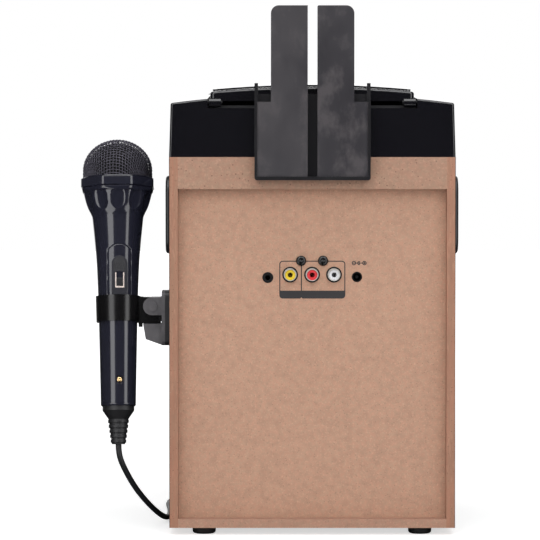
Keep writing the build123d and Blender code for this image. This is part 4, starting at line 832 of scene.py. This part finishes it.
def dome_net():
    """Crossings of a square net pressed over the dome, by column and row, in all four quarters."""
    spine = spine_points()
    net = {(step, 0): point for step, point in enumerate(spine)}
    net.update({(0, step): Vector((0, point.x, point.z)) for step, point in enumerate(spine)})
    for column in range(1, len(spine)):
        for row in range(1, len(spine)):
            before = ((column - 1, row), (column, row - 1), (column - 1, row - 1))
            around = [net.get(place) for place in before]
            if None in around or min(point.z for point in around) < GRILLE_FOOT - WIRE_PITCH / 2:
                break
            net[column, row] = next_crossing(*around)
    whole = {}
    for (column, row), point in net.items():
        for side_x in (-1, 1):
            for side_y in (-1, 1):
                whole[column * side_x, row * side_y] = Vector((point.x * side_x, point.y * side_y, point.z))
    return whole


def add_wire(bm, crossings, first_over):
    """One wire: over and under by turns at its crossings, with a point halfway between each two."""
    path = []
    for number, point in enumerate(crossings):
        if number:
            path.append((press_to_dome((crossings[number - 1] + point) / 2), 0.0))
        path.append((point, WEAVE if (number + first_over) % 2 else -WEAVE))
    rings = []
    for number, (point, lift) in enumerate(path):
        out = dome_normal(point).normalized()
        ahead = path[min(number + 1, len(path) - 1)][0] - path[max(number - 1, 0)][0]
        across = ahead.cross(out).normalized()
        middle = point + out * lift
        rings.append([
            middle + (out * math.cos(turn) + across * math.sin(turn)) * WIRE_RADIUS
            for turn in (2 * math.pi * side / WIRE_SIDES for side in range(WIRE_SIDES))])
    add_rings(bm, rings, closed_ends=False)


def make_mic_mesh():
    """The woven wire dome: two families of wires, each over and under the other."""
    bm = bmesh.new()
    net = dome_net()
    reach = max(column for column, _ in net)
    for fixed in range(-reach, reach + 1):
        for along_row in (True, False):
            places = [(step, fixed) if along_row else (fixed, step) for step in range(-reach, reach + 1)]
            run = [net[place] for place in places if place in net]
            first = next((step for step, place in enumerate(places) if place in net), 0)
            if len(run) > 1:
                add_wire(bm, run, first + fixed + reach + (0 if along_row else 1))
    mesh = finish_mesh("mic_wire_mesh", bm, sharp_angle=80)
    mesh.data.transform(Matrix.Rotation(-NET_TURN, 4, "Z"))
    return mesh


def make_mic_foam():
    """The dark foam lining that shows through the mesh."""
    steps = 20
    reach, rise = wire_reach - FOAM_GAP, wire_rise - FOAM_GAP
    profile = [(reach, GRILLE_FOOT - FOAM_BELOW)]
    for step in range(steps, 0, -1):
        turn = math.pi / 2 * step / steps
        profile.append((reach * math.sin(turn), GRILLE_CENTRE + rise * math.cos(turn)))
    profile.append((FOAM_CROWN, GRILLE_CENTRE + rise))
    return lathe("mic_foam", profile, 72)


def make_mic_hem():
    """The rolled band where the wire dome meets the faceted collar."""
    profile = circle_points((wire_reach, GRILLE_FOOT + HEM_UP), HEM_RADIUS, steps=10)
    return lathe("mic_hem", profile, 96, closed_ends=False, sharp_angle=60)


HANDLE_BOTTOM = 0.0862
HANDLE_TOP = 0.2341
HANDLE_SIDES = 264
HANDLE_EDGE_ROUND = 0.0008
# Outlines of the handle and of its bowl, from the foot up: (height, radius).
handle_profile = (
    (HANDLE_BOTTOM, 0.0120), (0.1442, 0.0133), (0.1620, 0.0138), (0.1855, 0.0148), (0.2003, 0.0160),
    (0.2188, 0.0179))
bowl_profile = (
    (0.2192, 0.0186), (0.2202, 0.0191), (0.2235, 0.0208), (0.2275, 0.0222), (0.2332, 0.0236),
    (0.2344, 0.0237))
# How close the handle's rows lie: (from, to, step).
handle_spans = (
    (HANDLE_BOTTOM + HANDLE_EDGE_ROUND, 0.1003, 0.0020), (0.1003, 0.1075, 0.00035), (0.1075, 0.1633, 0.0020),
    (0.1633, 0.1925, 0.0010), (0.1925, 0.1975, 0.00022), (0.1975, 0.2188, 0.0020),
    (bowl_profile[0][0], 0.2212, 0.0005), (0.2212, HANDLE_TOP, 0.00038))
FLUTES = 11
FLUTE_TURN = math.radians(3.1)
FLUTE_MIDDLE = 0.2285
FLUTE_HALF_HEIGHT = 0.0074
FLUTE_HALF_WIDTH = 0.0049
FLUTE_DEPTH = 0.0012
FLUTE_CURVE_ACROSS, FLUTE_CURVE_UP, FLUTE_SCOOP = 2.3, 2.6, 0.7
PANEL_HALF_WIDTH = 0.0080
PANEL_SHOULDER = 0.1933
PANEL_TOP = 0.1968
PANEL_RAISED = 0.00018
SEAM_DEPTH = 0.0004
SEAM_HALF_WIDTH = 0.0005
SCREW_HEIGHT = 0.1039
SCREW_WELL_RADIUS = 0.0028
SCREW_WELL_DEPTH = 0.0013
SCREW_WELL_EDGE = 0.0004
HANDLE_END_INSET = 0.0030


def smooth_step(value):
    held = min(1.0, max(0.0, value))
    return held * held * (3 - 2 * held)


def along_profile(profile, height):
    """The radius at a height, on a smooth line through a profile's points."""
    index = 0
    while index < len(profile) - 2 and height > profile[index + 1][0]:
        index += 1
    (low, low_radius), (high, high_radius) = profile[index], profile[index + 1]
    before = profile[max(index - 1, 0)]
    after = profile[min(index + 2, len(profile) - 1)]
    span = high - low
    share = min(1.0, max(0.0, (height - low) / span))
    low_slope = (high_radius - before[1]) / (high - before[0]) * span
    high_slope = (after[1] - low_radius) / (after[0] - low) * span
    cube, square = share ** 3, share ** 2
    return ((2 * cube - 3 * square + 1) * low_radius + (cube - 2 * square + share) * low_slope
            + (3 * square - 2 * cube) * high_radius + (cube - square) * high_slope)


def flute_depth(turn, height):
    """How deep the nearest scooped flute of the bowl is here."""
    pitch = 2 * math.pi / FLUTES
    off = (turn - FLUTE_TURN + pitch / 2) % pitch - pitch / 2
    across = off * along_profile(bowl_profile, height) / FLUTE_HALF_WIDTH
    up = (height - FLUTE_MIDDLE) / FLUTE_HALF_HEIGHT
    share = abs(across) ** FLUTE_CURVE_ACROSS + abs(up) ** FLUTE_CURVE_UP
    return FLUTE_DEPTH * max(0.0, 1 - share) ** FLUTE_SCOOP


def panel_relief(across, height):
    """The arched panel on the handle's face: raised a little inside its seam."""
    rise = PANEL_TOP - PANEL_SHOULDER
    arc_radius = (PANEL_HALF_WIDTH ** 2 + rise ** 2) / (2 * rise)
    from_arc = math.hypot(across, height - PANEL_TOP + arc_radius) - arc_radius
    from_side = abs(across) - PANEL_HALF_WIDTH
    outside = max(from_side, from_arc) if height > PANEL_TOP - arc_radius else from_side
    seam = SEAM_DEPTH * smooth_step(1 - abs(outside) / SEAM_HALF_WIDTH)
    return (PANEL_RAISED if outside < 0 else 0.0) - seam


def handle_radius(turn, height):
    """Radius of the handle at a turn from its face (0 is the side with the switch) and a height."""
    if height >= bowl_profile[0][0]:
        return along_profile(bowl_profile, height) - flute_depth(turn, height)
    radius = along_profile(handle_profile, height)
    across = radius * math.sin(turn)
    if math.cos(turn) > 0:
        if height > CLIP_MIDDLE:
            radius += panel_relief(across, height)
        from_screw = math.hypot(across, height - SCREW_HEIGHT)
        radius -= SCREW_WELL_DEPTH * smooth_step((SCREW_WELL_RADIUS - from_screw) / SCREW_WELL_EDGE)
    return radius


def handle_heights():
    """Rows of the handle's mesh: close together where it is carved, wide apart elsewhere."""
    heights = []
    for low, high, step in handle_spans:
        count = max(1, round((high - low) / step))
        heights += [low + (high - low) * number / count for number in range(count)]
    return heights + [HANDLE_TOP]


def formed_ring(sides, height, reach):
    """A ring of points at a height, each at its own reach from the axis. Turn 0 is the face."""
    points = []
    for side in range(sides):
        turn = 2 * math.pi * side / sides
        radius = reach(turn)
        points.append((radius * math.sin(turn), radius * math.cos(turn), height))
    return points


def make_mic_handle():
    bm = bmesh.new()

    def ring(height, shrink=0.0):
        return formed_ring(HANDLE_SIDES, height, lambda turn: handle_radius(turn, height) - shrink)
    rings = [ring(HANDLE_BOTTOM, HANDLE_END_INSET), ring(HANDLE_BOTTOM, HANDLE_EDGE_ROUND),
             ring(HANDLE_BOTTOM + HANDLE_EDGE_ROUND / 4, HANDLE_EDGE_ROUND / 2)]
    rings += [ring(height) for height in handle_heights()]
    rings.append(ring(HANDLE_TOP, HANDLE_END_INSET))
    add_rings(bm, rings)
    return finish_mesh("mic_handle", bm, sharp_angle=40)


PAD_HALF_WIDTH = 0.00535
PAD_FACE = 0.0155
PAD_TOP = 0.1889
PAD_BOTTOM = 0.1622
PAD_BEVEL = 0.00045
SLOT_HALF_WIDTH = 0.0023
SLOT_BOTTOM = 0.1679
SLOT_TOP = 0.1778
SLOT_DEPTH = 0.0025
SLOT_FLOOR = (-0.0035, SLOT_BOTTOM - 0.001, 0.0035, SLOT_TOP + 0.001)
SLOT_FLOOR_THICK = 0.0008
SLIDER_LENGTH = 0.0055
SLIDER_PROUD = 0.0011
SLIDER_LIFT = 0.0001
SLIDER_GAP = 0.0002
SLIDER_RIBS = 5
SLIDER_END = 0.0006
FRAME_LINE = 0.0008
FRAME_TOP = 0.1771
FRAME_FOOT = 0.0012


def make_switch_pad():
    """The raised arched housing round the slide switch, with its slot."""
    bm = bmesh.new()
    slot = rectangle(-SLOT_HALF_WIDTH, SLOT_BOTTOM, SLOT_HALF_WIDTH, SLOT_TOP)
    floor_face = PAD_FACE - SLOT_DEPTH
    add_plate(bm, arch_outline(PAD_HALF_WIDTH, PAD_BOTTOM, PAD_TOP), [slot], floor_face, PAD_FACE)
    add_slab(bm, rectangle(*SLOT_FLOOR), floor_face - SLOT_FLOOR_THICK, floor_face)
    return bevelled(finish_mesh("mic_switch_pad", bm), PAD_BEVEL)


def make_thumb_inlay():
    """The matt inlay above the switch, with three rows of small raised dots."""
    inset, dot_radius, dot_pitch = 0.0010, 0.00045, 0.0015
    bm = bmesh.new()
    inlay = arch_outline(PAD_HALF_WIDTH - inset, SLOT_TOP + 0.0004, PAD_TOP - inset)
    add_slab(bm, inlay, PAD_FACE - 0.0002, PAD_FACE + 0.0001)
    for row in range(3):
        for column in range(-2, 3):
            middle = (column * dot_pitch, SLOT_TOP + 0.0024 + row * dot_pitch)
            add_slab(bm, circle_points(middle, dot_radius, steps=8)[:-1], PAD_FACE, PAD_FACE + 0.00028)
    return bevelled(finish_mesh("mic_thumb_inlay", bm), 0.00008, 1)


def make_slider():
    """The ribbed thumb slide in its slot."""
    low = SLOT_BOTTOM + SLIDER_GAP
    pitch = (SLIDER_LENGTH - 2 * SLIDER_END) / SLIDER_RIBS
    back = PAD_FACE - SLOT_DEPTH + SLIDER_LIFT
    crest, root, end = (PAD_FACE + SLIDER_PROUD * share for share in (1, 0.55, 0.6))
    outline = [(back, low), (end, low)]
    for rib in range(SLIDER_RIBS):
        foot = low + SLIDER_END + rib * pitch
        outline += [(crest, foot + pitch * 0.12), (crest, foot + pitch * 0.55), (root, foot + pitch * 0.7),
                    (root, foot + pitch)]
    outline += [(end, low + SLIDER_LENGTH), (back, low + SLIDER_LENGTH)]
    bm = bmesh.new()
    half = SLOT_HALF_WIDTH - SLIDER_GAP
    add_plate(bm, outline, [], -half, half, lambda y, z, x: (x, y, z))
    return finish_mesh("mic_slider", bm, sharp_angle=20)


def make_switch_frame():
    """The pale U-shaped line printed round the switch's slot."""
    outer = SLOT_HALF_WIDTH + FRAME_LINE
    inner = SLOT_HALF_WIDTH + 0.00003
    foot, sill = SLOT_BOTTOM - FRAME_FOOT, SLOT_BOTTOM - 0.0001
    outline = [(-outer, foot), (outer, foot), (outer, FRAME_TOP), (inner, FRAME_TOP),
               (inner, sill), (-inner, sill), (-inner, FRAME_TOP), (-outer, FRAME_TOP)]
    bm = bmesh.new()
    add_plate(bm, outline, [], PAD_FACE - 0.0001, PAD_FACE + 0.00006)
    return finish_mesh("mic_switch_frame", bm, smooth=False)


COLLAR_FACETS = 8
COLLAR_SIDES = 192
COLLAR_TURN = math.radians(6.5)
COLLAR_CORNER = 1.06
COLLAR_ROUND = 1.03
COLLAR_FOOT, COLLAR_STEP, COLLAR_TOP = 0.2335, 0.2368, 0.2429
# Rows of the collar, from its foot up: (height, radius at a facet's middle, how round).
collar_rows = (
    (COLLAR_FOOT, 0.0226, 1.0), (COLLAR_FOOT, 0.0233, 0.8), (COLLAR_FOOT + 0.0007, 0.0239, 0.6),
    (COLLAR_FOOT + 0.0018, 0.0243, 0.35), (COLLAR_STEP - 0.0007, 0.0245, 0.15),
    (COLLAR_STEP - 0.0003, 0.0243, 0.1), (COLLAR_STEP, 0.0240, 0.1), (COLLAR_STEP + 0.0001, 0.0246, 0.0),
    (COLLAR_STEP + 0.0004, 0.0250, 0.0),
    (COLLAR_TOP - 0.0004, 0.0250, 0.0), (COLLAR_TOP - 0.0001, 0.0248, 0.0), (COLLAR_TOP, 0.0244, 0.0),
    (COLLAR_TOP + 0.0002, 0.0236, 0.4), (COLLAR_TOP, 0.0215, 0.6))


def make_mic_collar():
    """The faceted ring under the mesh: an upper tier, a groove, and a lower tier rounded into the bowl."""
    bm = bmesh.new()
    facet = 2 * math.pi / COLLAR_FACETS

    def reach(turn, flat, roundness):
        off = (turn - COLLAR_TURN + facet / 2) % facet - facet / 2
        faceted = min(flat / math.cos(off), flat * COLLAR_CORNER)
        return faceted * (1 - roundness) + flat * COLLAR_ROUND * roundness
    add_rings(bm, [
        formed_ring(COLLAR_SIDES, height, lambda turn: reach(turn, flat, roundness))
        for height, flat, roundness in collar_rows])
    return finish_mesh("mic_collar_ring", bm, sharp_angle=25)


def add_screw_head(bm, centre, face, thick, radius, crown, cross_half, cross_reach, cross_depth):
    """A round head facing +Y, lower at its rim, with a cross-shaped recess that deepens inwards."""
    sides = 96
    rings = 26

    def layer(share, depth=None):
        points = []
        for side in range(sides):
            turn = 2 * math.pi * side / sides
            across, up = share * radius * math.cos(turn), share * radius * math.sin(turn)
            y = face - crown * share ** 3 if depth is None else depth
            narrow = cross_half * (1.15 - 0.5 * share * radius / cross_reach)
            inside = smooth_step((narrow - min(abs(across), abs(up))) / (cross_half * 0.25))
            if depth is None and share * radius < cross_reach:
                y -= inside * cross_depth * (1 - 0.7 * share * radius / cross_reach)
            points.append((centre[0] + across, y, centre[1] + up))
        return points
    layers = [layer(1, face - thick), layer(1, face - crown - 0.0001)]
    layers += [layer(ring / rings * 0.985) for ring in range(rings, 0, -1)]
    add_rings(bm, layers)


def make_mic_screw():
    """The small brass screw at the bottom of its well, with a cross recess."""
    face = along_profile(handle_profile, SCREW_HEIGHT) - SCREW_WELL_DEPTH + 0.0009
    bm = bmesh.new()
    add_screw_head(bm, (0, SCREW_HEIGHT), face, thick=0.0014, radius=0.0018, crown=0.0005, cross_half=0.00030,
                   cross_reach=0.0012, cross_depth=0.0007)
    return finish_mesh("mic_screw", bm)


# Each piece: what makes it, its material, the body it rides on, its slot and the nodes it stands for.
microphone_pieces = (
    (make_mic_mesh, "mesh_black", "microphone", "black_mesh", "mic_grille"),
    (make_mic_foam, "foam", "microphone", "black_satin_plastic"),
    (make_mic_hem, "navy_gloss", "microphone", "navy_gloss_plastic"),
    (make_mic_handle, "navy_gloss", "microphone", "navy_gloss_plastic", "mic_body"),
    (make_switch_pad, "navy_satin", "microphone", "navy_gloss_plastic"),
    (make_thumb_inlay, "thumb_grey", "microphone", "grey_plastic"),
    (make_switch_frame, "off_white_print", "microphone", "white_plastic"),
    (make_slider, "thumb_grey", "mic_switch", "grey_plastic", "mic_switch"),
    (make_mic_screw, "brass", "microphone", "steel"),
    (make_mic_collar, "navy_gloss", "microphone", "navy_gloss_plastic", "mic_collar"),
)
for make, *dressing in microphone_pieces:
    add_piece(place_at_mic(make()), *dressing)

TONGUE_END = (0.1027, 0.1451, 0.1046, 0.1503)
TONGUE_HALF = 0.0052


def make_tongue_end():
    """The end of the clip's tongue, resting against the holder's plate under the cheeks."""
    bm = bmesh.new()
    add_slab(bm, rectangle(*TONGUE_END), MIC_Y - TONGUE_HALF, MIC_Y + TONGUE_HALF)
    return bevelled(finish_mesh("clip_tongue_end", bm), 0.0003)


add_piece(make_tongue_end(), "clip_black", "cabinet", "black_satin_plastic")


# ---- Printed lines on the back panel ----

PANEL_FACE = 0.0830
PRINT_THICK = 0.00006
PRINT_LINE = 0.0007
PRINT_LOW = (-0.02276, 0.16122)
PRINT_HIGH = (0.02244, 0.18714)
PRINT_CORNER = 0.0024
BAND_TOP = 0.16663
DIVIDER_X = 0.00733
NOTCH = 0.0008
POLARITY_X = -0.0322
POLARITY_Z = 0.1855
POLARITY_PITCH = 0.0036
POLARITY_RADIUS = 0.0015
POLARITY_LINE = 0.00058


def printed(name, parts):
    """A layer of ink on the back panel: each part is an outline and its holes."""
    bm = bmesh.new()
    for outline, holes in parts:
        part = bmesh.new()
        add_plate(part, outline, holes, PANEL_FACE - PRINT_THICK, PANEL_FACE + PRINT_THICK)
        mesh = bpy.data.meshes.new("ink")
        part.to_mesh(mesh)
        part.free()
        bm.from_mesh(mesh)
        bpy.data.meshes.remove(mesh)
    add_piece(finish_mesh(name, bm, smooth=False), "print_black", "cabinet", "black_satin_plastic")


def make_socket_frame():
    """The rounded frame round the three sockets, its divider and the filled band along its foot."""
    inner_corner = PRINT_CORNER - PRINT_LINE
    inner_top = PRINT_HIGH[1] - PRINT_LINE
    outline = rounded_outline(PRINT_LOW, PRINT_HIGH, (PRINT_CORNER,) * 4)
    first_right = next(index for index, point in enumerate(outline) if point[0] > 0)
    foot = PRINT_LOW[1]
    notch = [(DIVIDER_X - NOTCH, foot), (DIVIDER_X, foot + NOTCH), (DIVIDER_X + NOTCH, foot)]
    half_line = PRINT_LINE / 2
    left = rounded_outline(
        (PRINT_LOW[0] + PRINT_LINE, BAND_TOP), (DIVIDER_X - half_line, inner_top), (0, 0, 0, inner_corner))
    right = rounded_outline(
        (DIVIDER_X + half_line, BAND_TOP), (PRINT_HIGH[0] - PRINT_LINE, inner_top), (0, 0, inner_corner, 0))
    printed("printed_socket_frame", [(outline[:first_right] + notch + outline[first_right:], [left, right])])


def make_polarity_mark():
    """The centre-positive mark over the power socket: two rings and an arc with a dot, joined in a row."""
    parts = []
    line = POLARITY_LINE / 2
    half = POLARITY_RADIUS * 0.5
    for side in (-1, 1):
        x, z = POLARITY_X + side * POLARITY_PITCH, POLARITY_Z
        ring = circle_points((x, z), POLARITY_RADIUS)[:-1]
        hole = circle_points((x, z), POLARITY_RADIUS - POLARITY_LINE)[:-1]
        parts += [(ring, [hole]), (rectangle(x - half, z - line, x + half, z + line), [])]
        if side < 0:
            parts.append((rectangle(x - line, z - half, x + line, z + half), []))
        near = POLARITY_X + side * (POLARITY_PITCH - POLARITY_RADIUS)
        far = POLARITY_X + side * POLARITY_RADIUS * (0.3 if side < 0 else 0.85)
        parts.append((rectangle(min(near, far), z - line, max(near, far), z + line), []))
    middle = (POLARITY_X, POLARITY_Z)
    arc_radius = POLARITY_RADIUS * 0.9
    arc = circle_points(middle, arc_radius, -125, 125)
    arc += list(reversed(circle_points(middle, arc_radius - POLARITY_LINE, -125, 125)))
    parts += [(arc, []), (circle_points(middle, POLARITY_LINE)[:-1], [])]
    printed("printed_polarity_mark", parts)


make_socket_frame()
make_polarity_mark()


# ---- Socket rings and screws on the back panel ----

RING_INNER = 0.0041
RING_OUTER = 0.00535
RING_PROUD = 0.0004
RING_BACK = PANEL_FACE - 0.0012
ring_profile = (
    (RING_INNER, RING_BACK), (RING_INNER, PANEL_FACE - 0.0002),
    (RING_OUTER - 0.0005, PANEL_FACE + RING_PROUD), (RING_OUTER, PANEL_FACE + RING_PROUD * 0.5),
    (RING_OUTER, RING_BACK), (RING_INNER, RING_BACK))


def make_socket_rings():
    """The black plastic rings round the three coaxial sockets, sloping inwards to the shells."""
    bm = bmesh.new()
    for colour in ("yellow", "red", "white"):
        low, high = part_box("rca_insert_" + colour)
        middle = ((low[0] + high[0]) / 2, (low[2] + high[2]) / 2)
        add_rings(bm, [
            [(x, depth, z) for x, z in circle_points(middle, radius, steps=64)[:-1]]
            for radius, depth in ring_profile], closed_ends=False)
    bmesh.ops.remove_doubles(bm, verts=bm.verts, dist=SAME_PLACE)
    return finish_mesh("socket_rings", bm)


def make_jack_screws():
    low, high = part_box("jack_screws")
    radius = (high[2] - low[2]) / 2
    bm = bmesh.new()
    for middle_x in (low[0] + radius, high[0] - radius):
        add_screw_head(bm, (middle_x, (low[2] + high[2]) / 2), high[1], high[1] - PANEL_FACE + 0.0005, radius,
                       crown=0.0012, cross_half=0.00055, cross_reach=0.0021, cross_depth=0.0013)
    return finish_mesh("jack_screw_heads", bm)


add_piece(make_socket_rings(), "socket_black", "cabinet", "black_satin_plastic")
add_piece(make_jack_screws(), "screw_black", "cabinet", "black_steel", "jack_screws")


# ---- Speaker grille ----

GRILLE_BORDER = 0.0032
HOLE_PITCH = 0.0040
HOLE_RADIUS = 0.00145
SHEET_THICK = 0.0009


def add_punched_cell(bm, middle, half_width, half_height, front, back):
    """One cell of perforated sheet: a rectangle with a round hole through it."""
    shares = ((1, 1), (1 / 3, 1), (-1 / 3, 1), (-1, 1), (-1, 1 / 3), (-1, -1 / 3),
              (-1, -1), (-1 / 3, -1), (1 / 3, -1), (1, -1), (1, -1 / 3), (1, 1 / 3))
    rim = []
    for step, (share_x, share_z) in enumerate(shares):
        turn = math.radians(45 + 30 * step)
        edge = bm.verts.new((middle[0] + half_width * share_x, front, middle[1] + half_height * share_z))
        hole = (middle[0] + HOLE_RADIUS * math.cos(turn), middle[1] + HOLE_RADIUS * math.sin(turn))
        near = bm.verts.new((hole[0], front, hole[1]))
        far = bm.verts.new((hole[0], back, hole[1]))
        rim.append((edge, near, far))
    for index, (edge, near, far) in enumerate(rim):
        before_edge, before_near, before_far = rim[index - 1]
        bm.faces.new((before_edge, edge, near, before_near))
        bm.faces.new((before_near, near, far, before_far))


def make_speaker_grille():
    """Perforated steel sheet with staggered round holes inside a plain border."""
    low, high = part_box("speaker_grille")
    front = low[1]
    row_height = HOLE_PITCH * math.sqrt(3) / 2
    columns = int((high[0] - low[0] - 2 * GRILLE_BORDER) / HOLE_PITCH)
    rows = int((high[2] - low[2] - 2 * GRILLE_BORDER) / row_height)
    left = (low[0] + high[0] - columns * HOLE_PITCH) / 2
    foot = (low[2] + high[2] - rows * row_height) / 2
    right, top = left + columns * HOLE_PITCH, foot + rows * row_height
    bm = bmesh.new()

    def plain(*corners):
        bm.faces.new([bm.verts.new((x, front, z)) for x, z in rectangle(*corners)])
    for row in range(rows):
        base = foot + row * row_height
        shift = HOLE_PITCH / 2 * (row % 2)
        for column in range(columns - row % 2):
            middle = (left + shift + (column + 0.5) * HOLE_PITCH, base + row_height / 2)
            add_punched_cell(bm, middle, HOLE_PITCH / 2, row_height / 2, front, front + SHEET_THICK)
        if shift:
            plain(left, base, left + shift, base + row_height)
            plain(right - shift, base, right, base + row_height)
    plain(low[0], low[2], high[0], foot)
    plain(low[0], top, high[0], high[2])
    plain(low[0], foot, left, top)
    plain(right, foot, high[0], top)
    rim = rectangle(low[0], low[2], high[0], high[2])
    near, far = ([bm.verts.new((x, depth, z)) for x, z in rim] for depth in (front, high[1]))
    add_wall(bm, near, far)
    bmesh.ops.remove_doubles(bm, verts=bm.verts, dist=SAME_PLACE)
    return finish_mesh("speaker_mesh", bm, sharp_angle=30)


add_piece(make_speaker_grille(), "grille_steel", "cabinet", "black_steel", "speaker_grille")


# ---- Cord tie and plug ----

TIE_ANGLE = math.radians(250)
TIE_WIDTH = 0.009
TIE_THICK = 0.0008
COIL_INNER = 0.0160
COIL_OUTER = 0.0320
COIL_TOP = 0.0160


def make_tie():
    """The strap wound round the coil's turns, with its overlapping end."""
    corner = 0.004
    low = (COIL_INNER - TIE_THICK - 0.0002, 0.0)
    high = (COIL_OUTER + TIE_THICK + 0.0002, COIL_TOP + TIE_THICK + 0.0004)
    inside = (low[0] + TIE_THICK, low[1] + TIE_THICK), (high[0] - TIE_THICK, high[1] - TIE_THICK)
    bm = bmesh.new()
    hole = rounded_outline(*inside, (corner - TIE_THICK,) * 4, 6)
    add_plate(bm, rounded_outline(low, high, (corner,) * 4, 6), [hole], -TIE_WIDTH / 2, TIE_WIDTH / 2)
    flap = rectangle(low[0] + corner, high[1] - 0.0001, high[0] - corner * 1.4, high[1] + TIE_THICK)
    add_slab(bm, flap, -TIE_WIDTH / 2, TIE_WIDTH / 2)
    tie = bevelled(finish_mesh("cord_tie", bm), 0.0002, 1)
    tie.data.transform(Matrix.Translation((COIL_X, COIL_Y, 0)) @ Matrix.Rotation(TIE_ANGLE, 4, "Z"))
    return tie


add_piece(make_tie(), "tie_fabric", "cabinet", "rubber")
add_piece(plug_barrel, "clip_black", "cabinet", "black_satin_plastic")
add_piece(plug_pin, "nickel", "cabinet", "chrome")
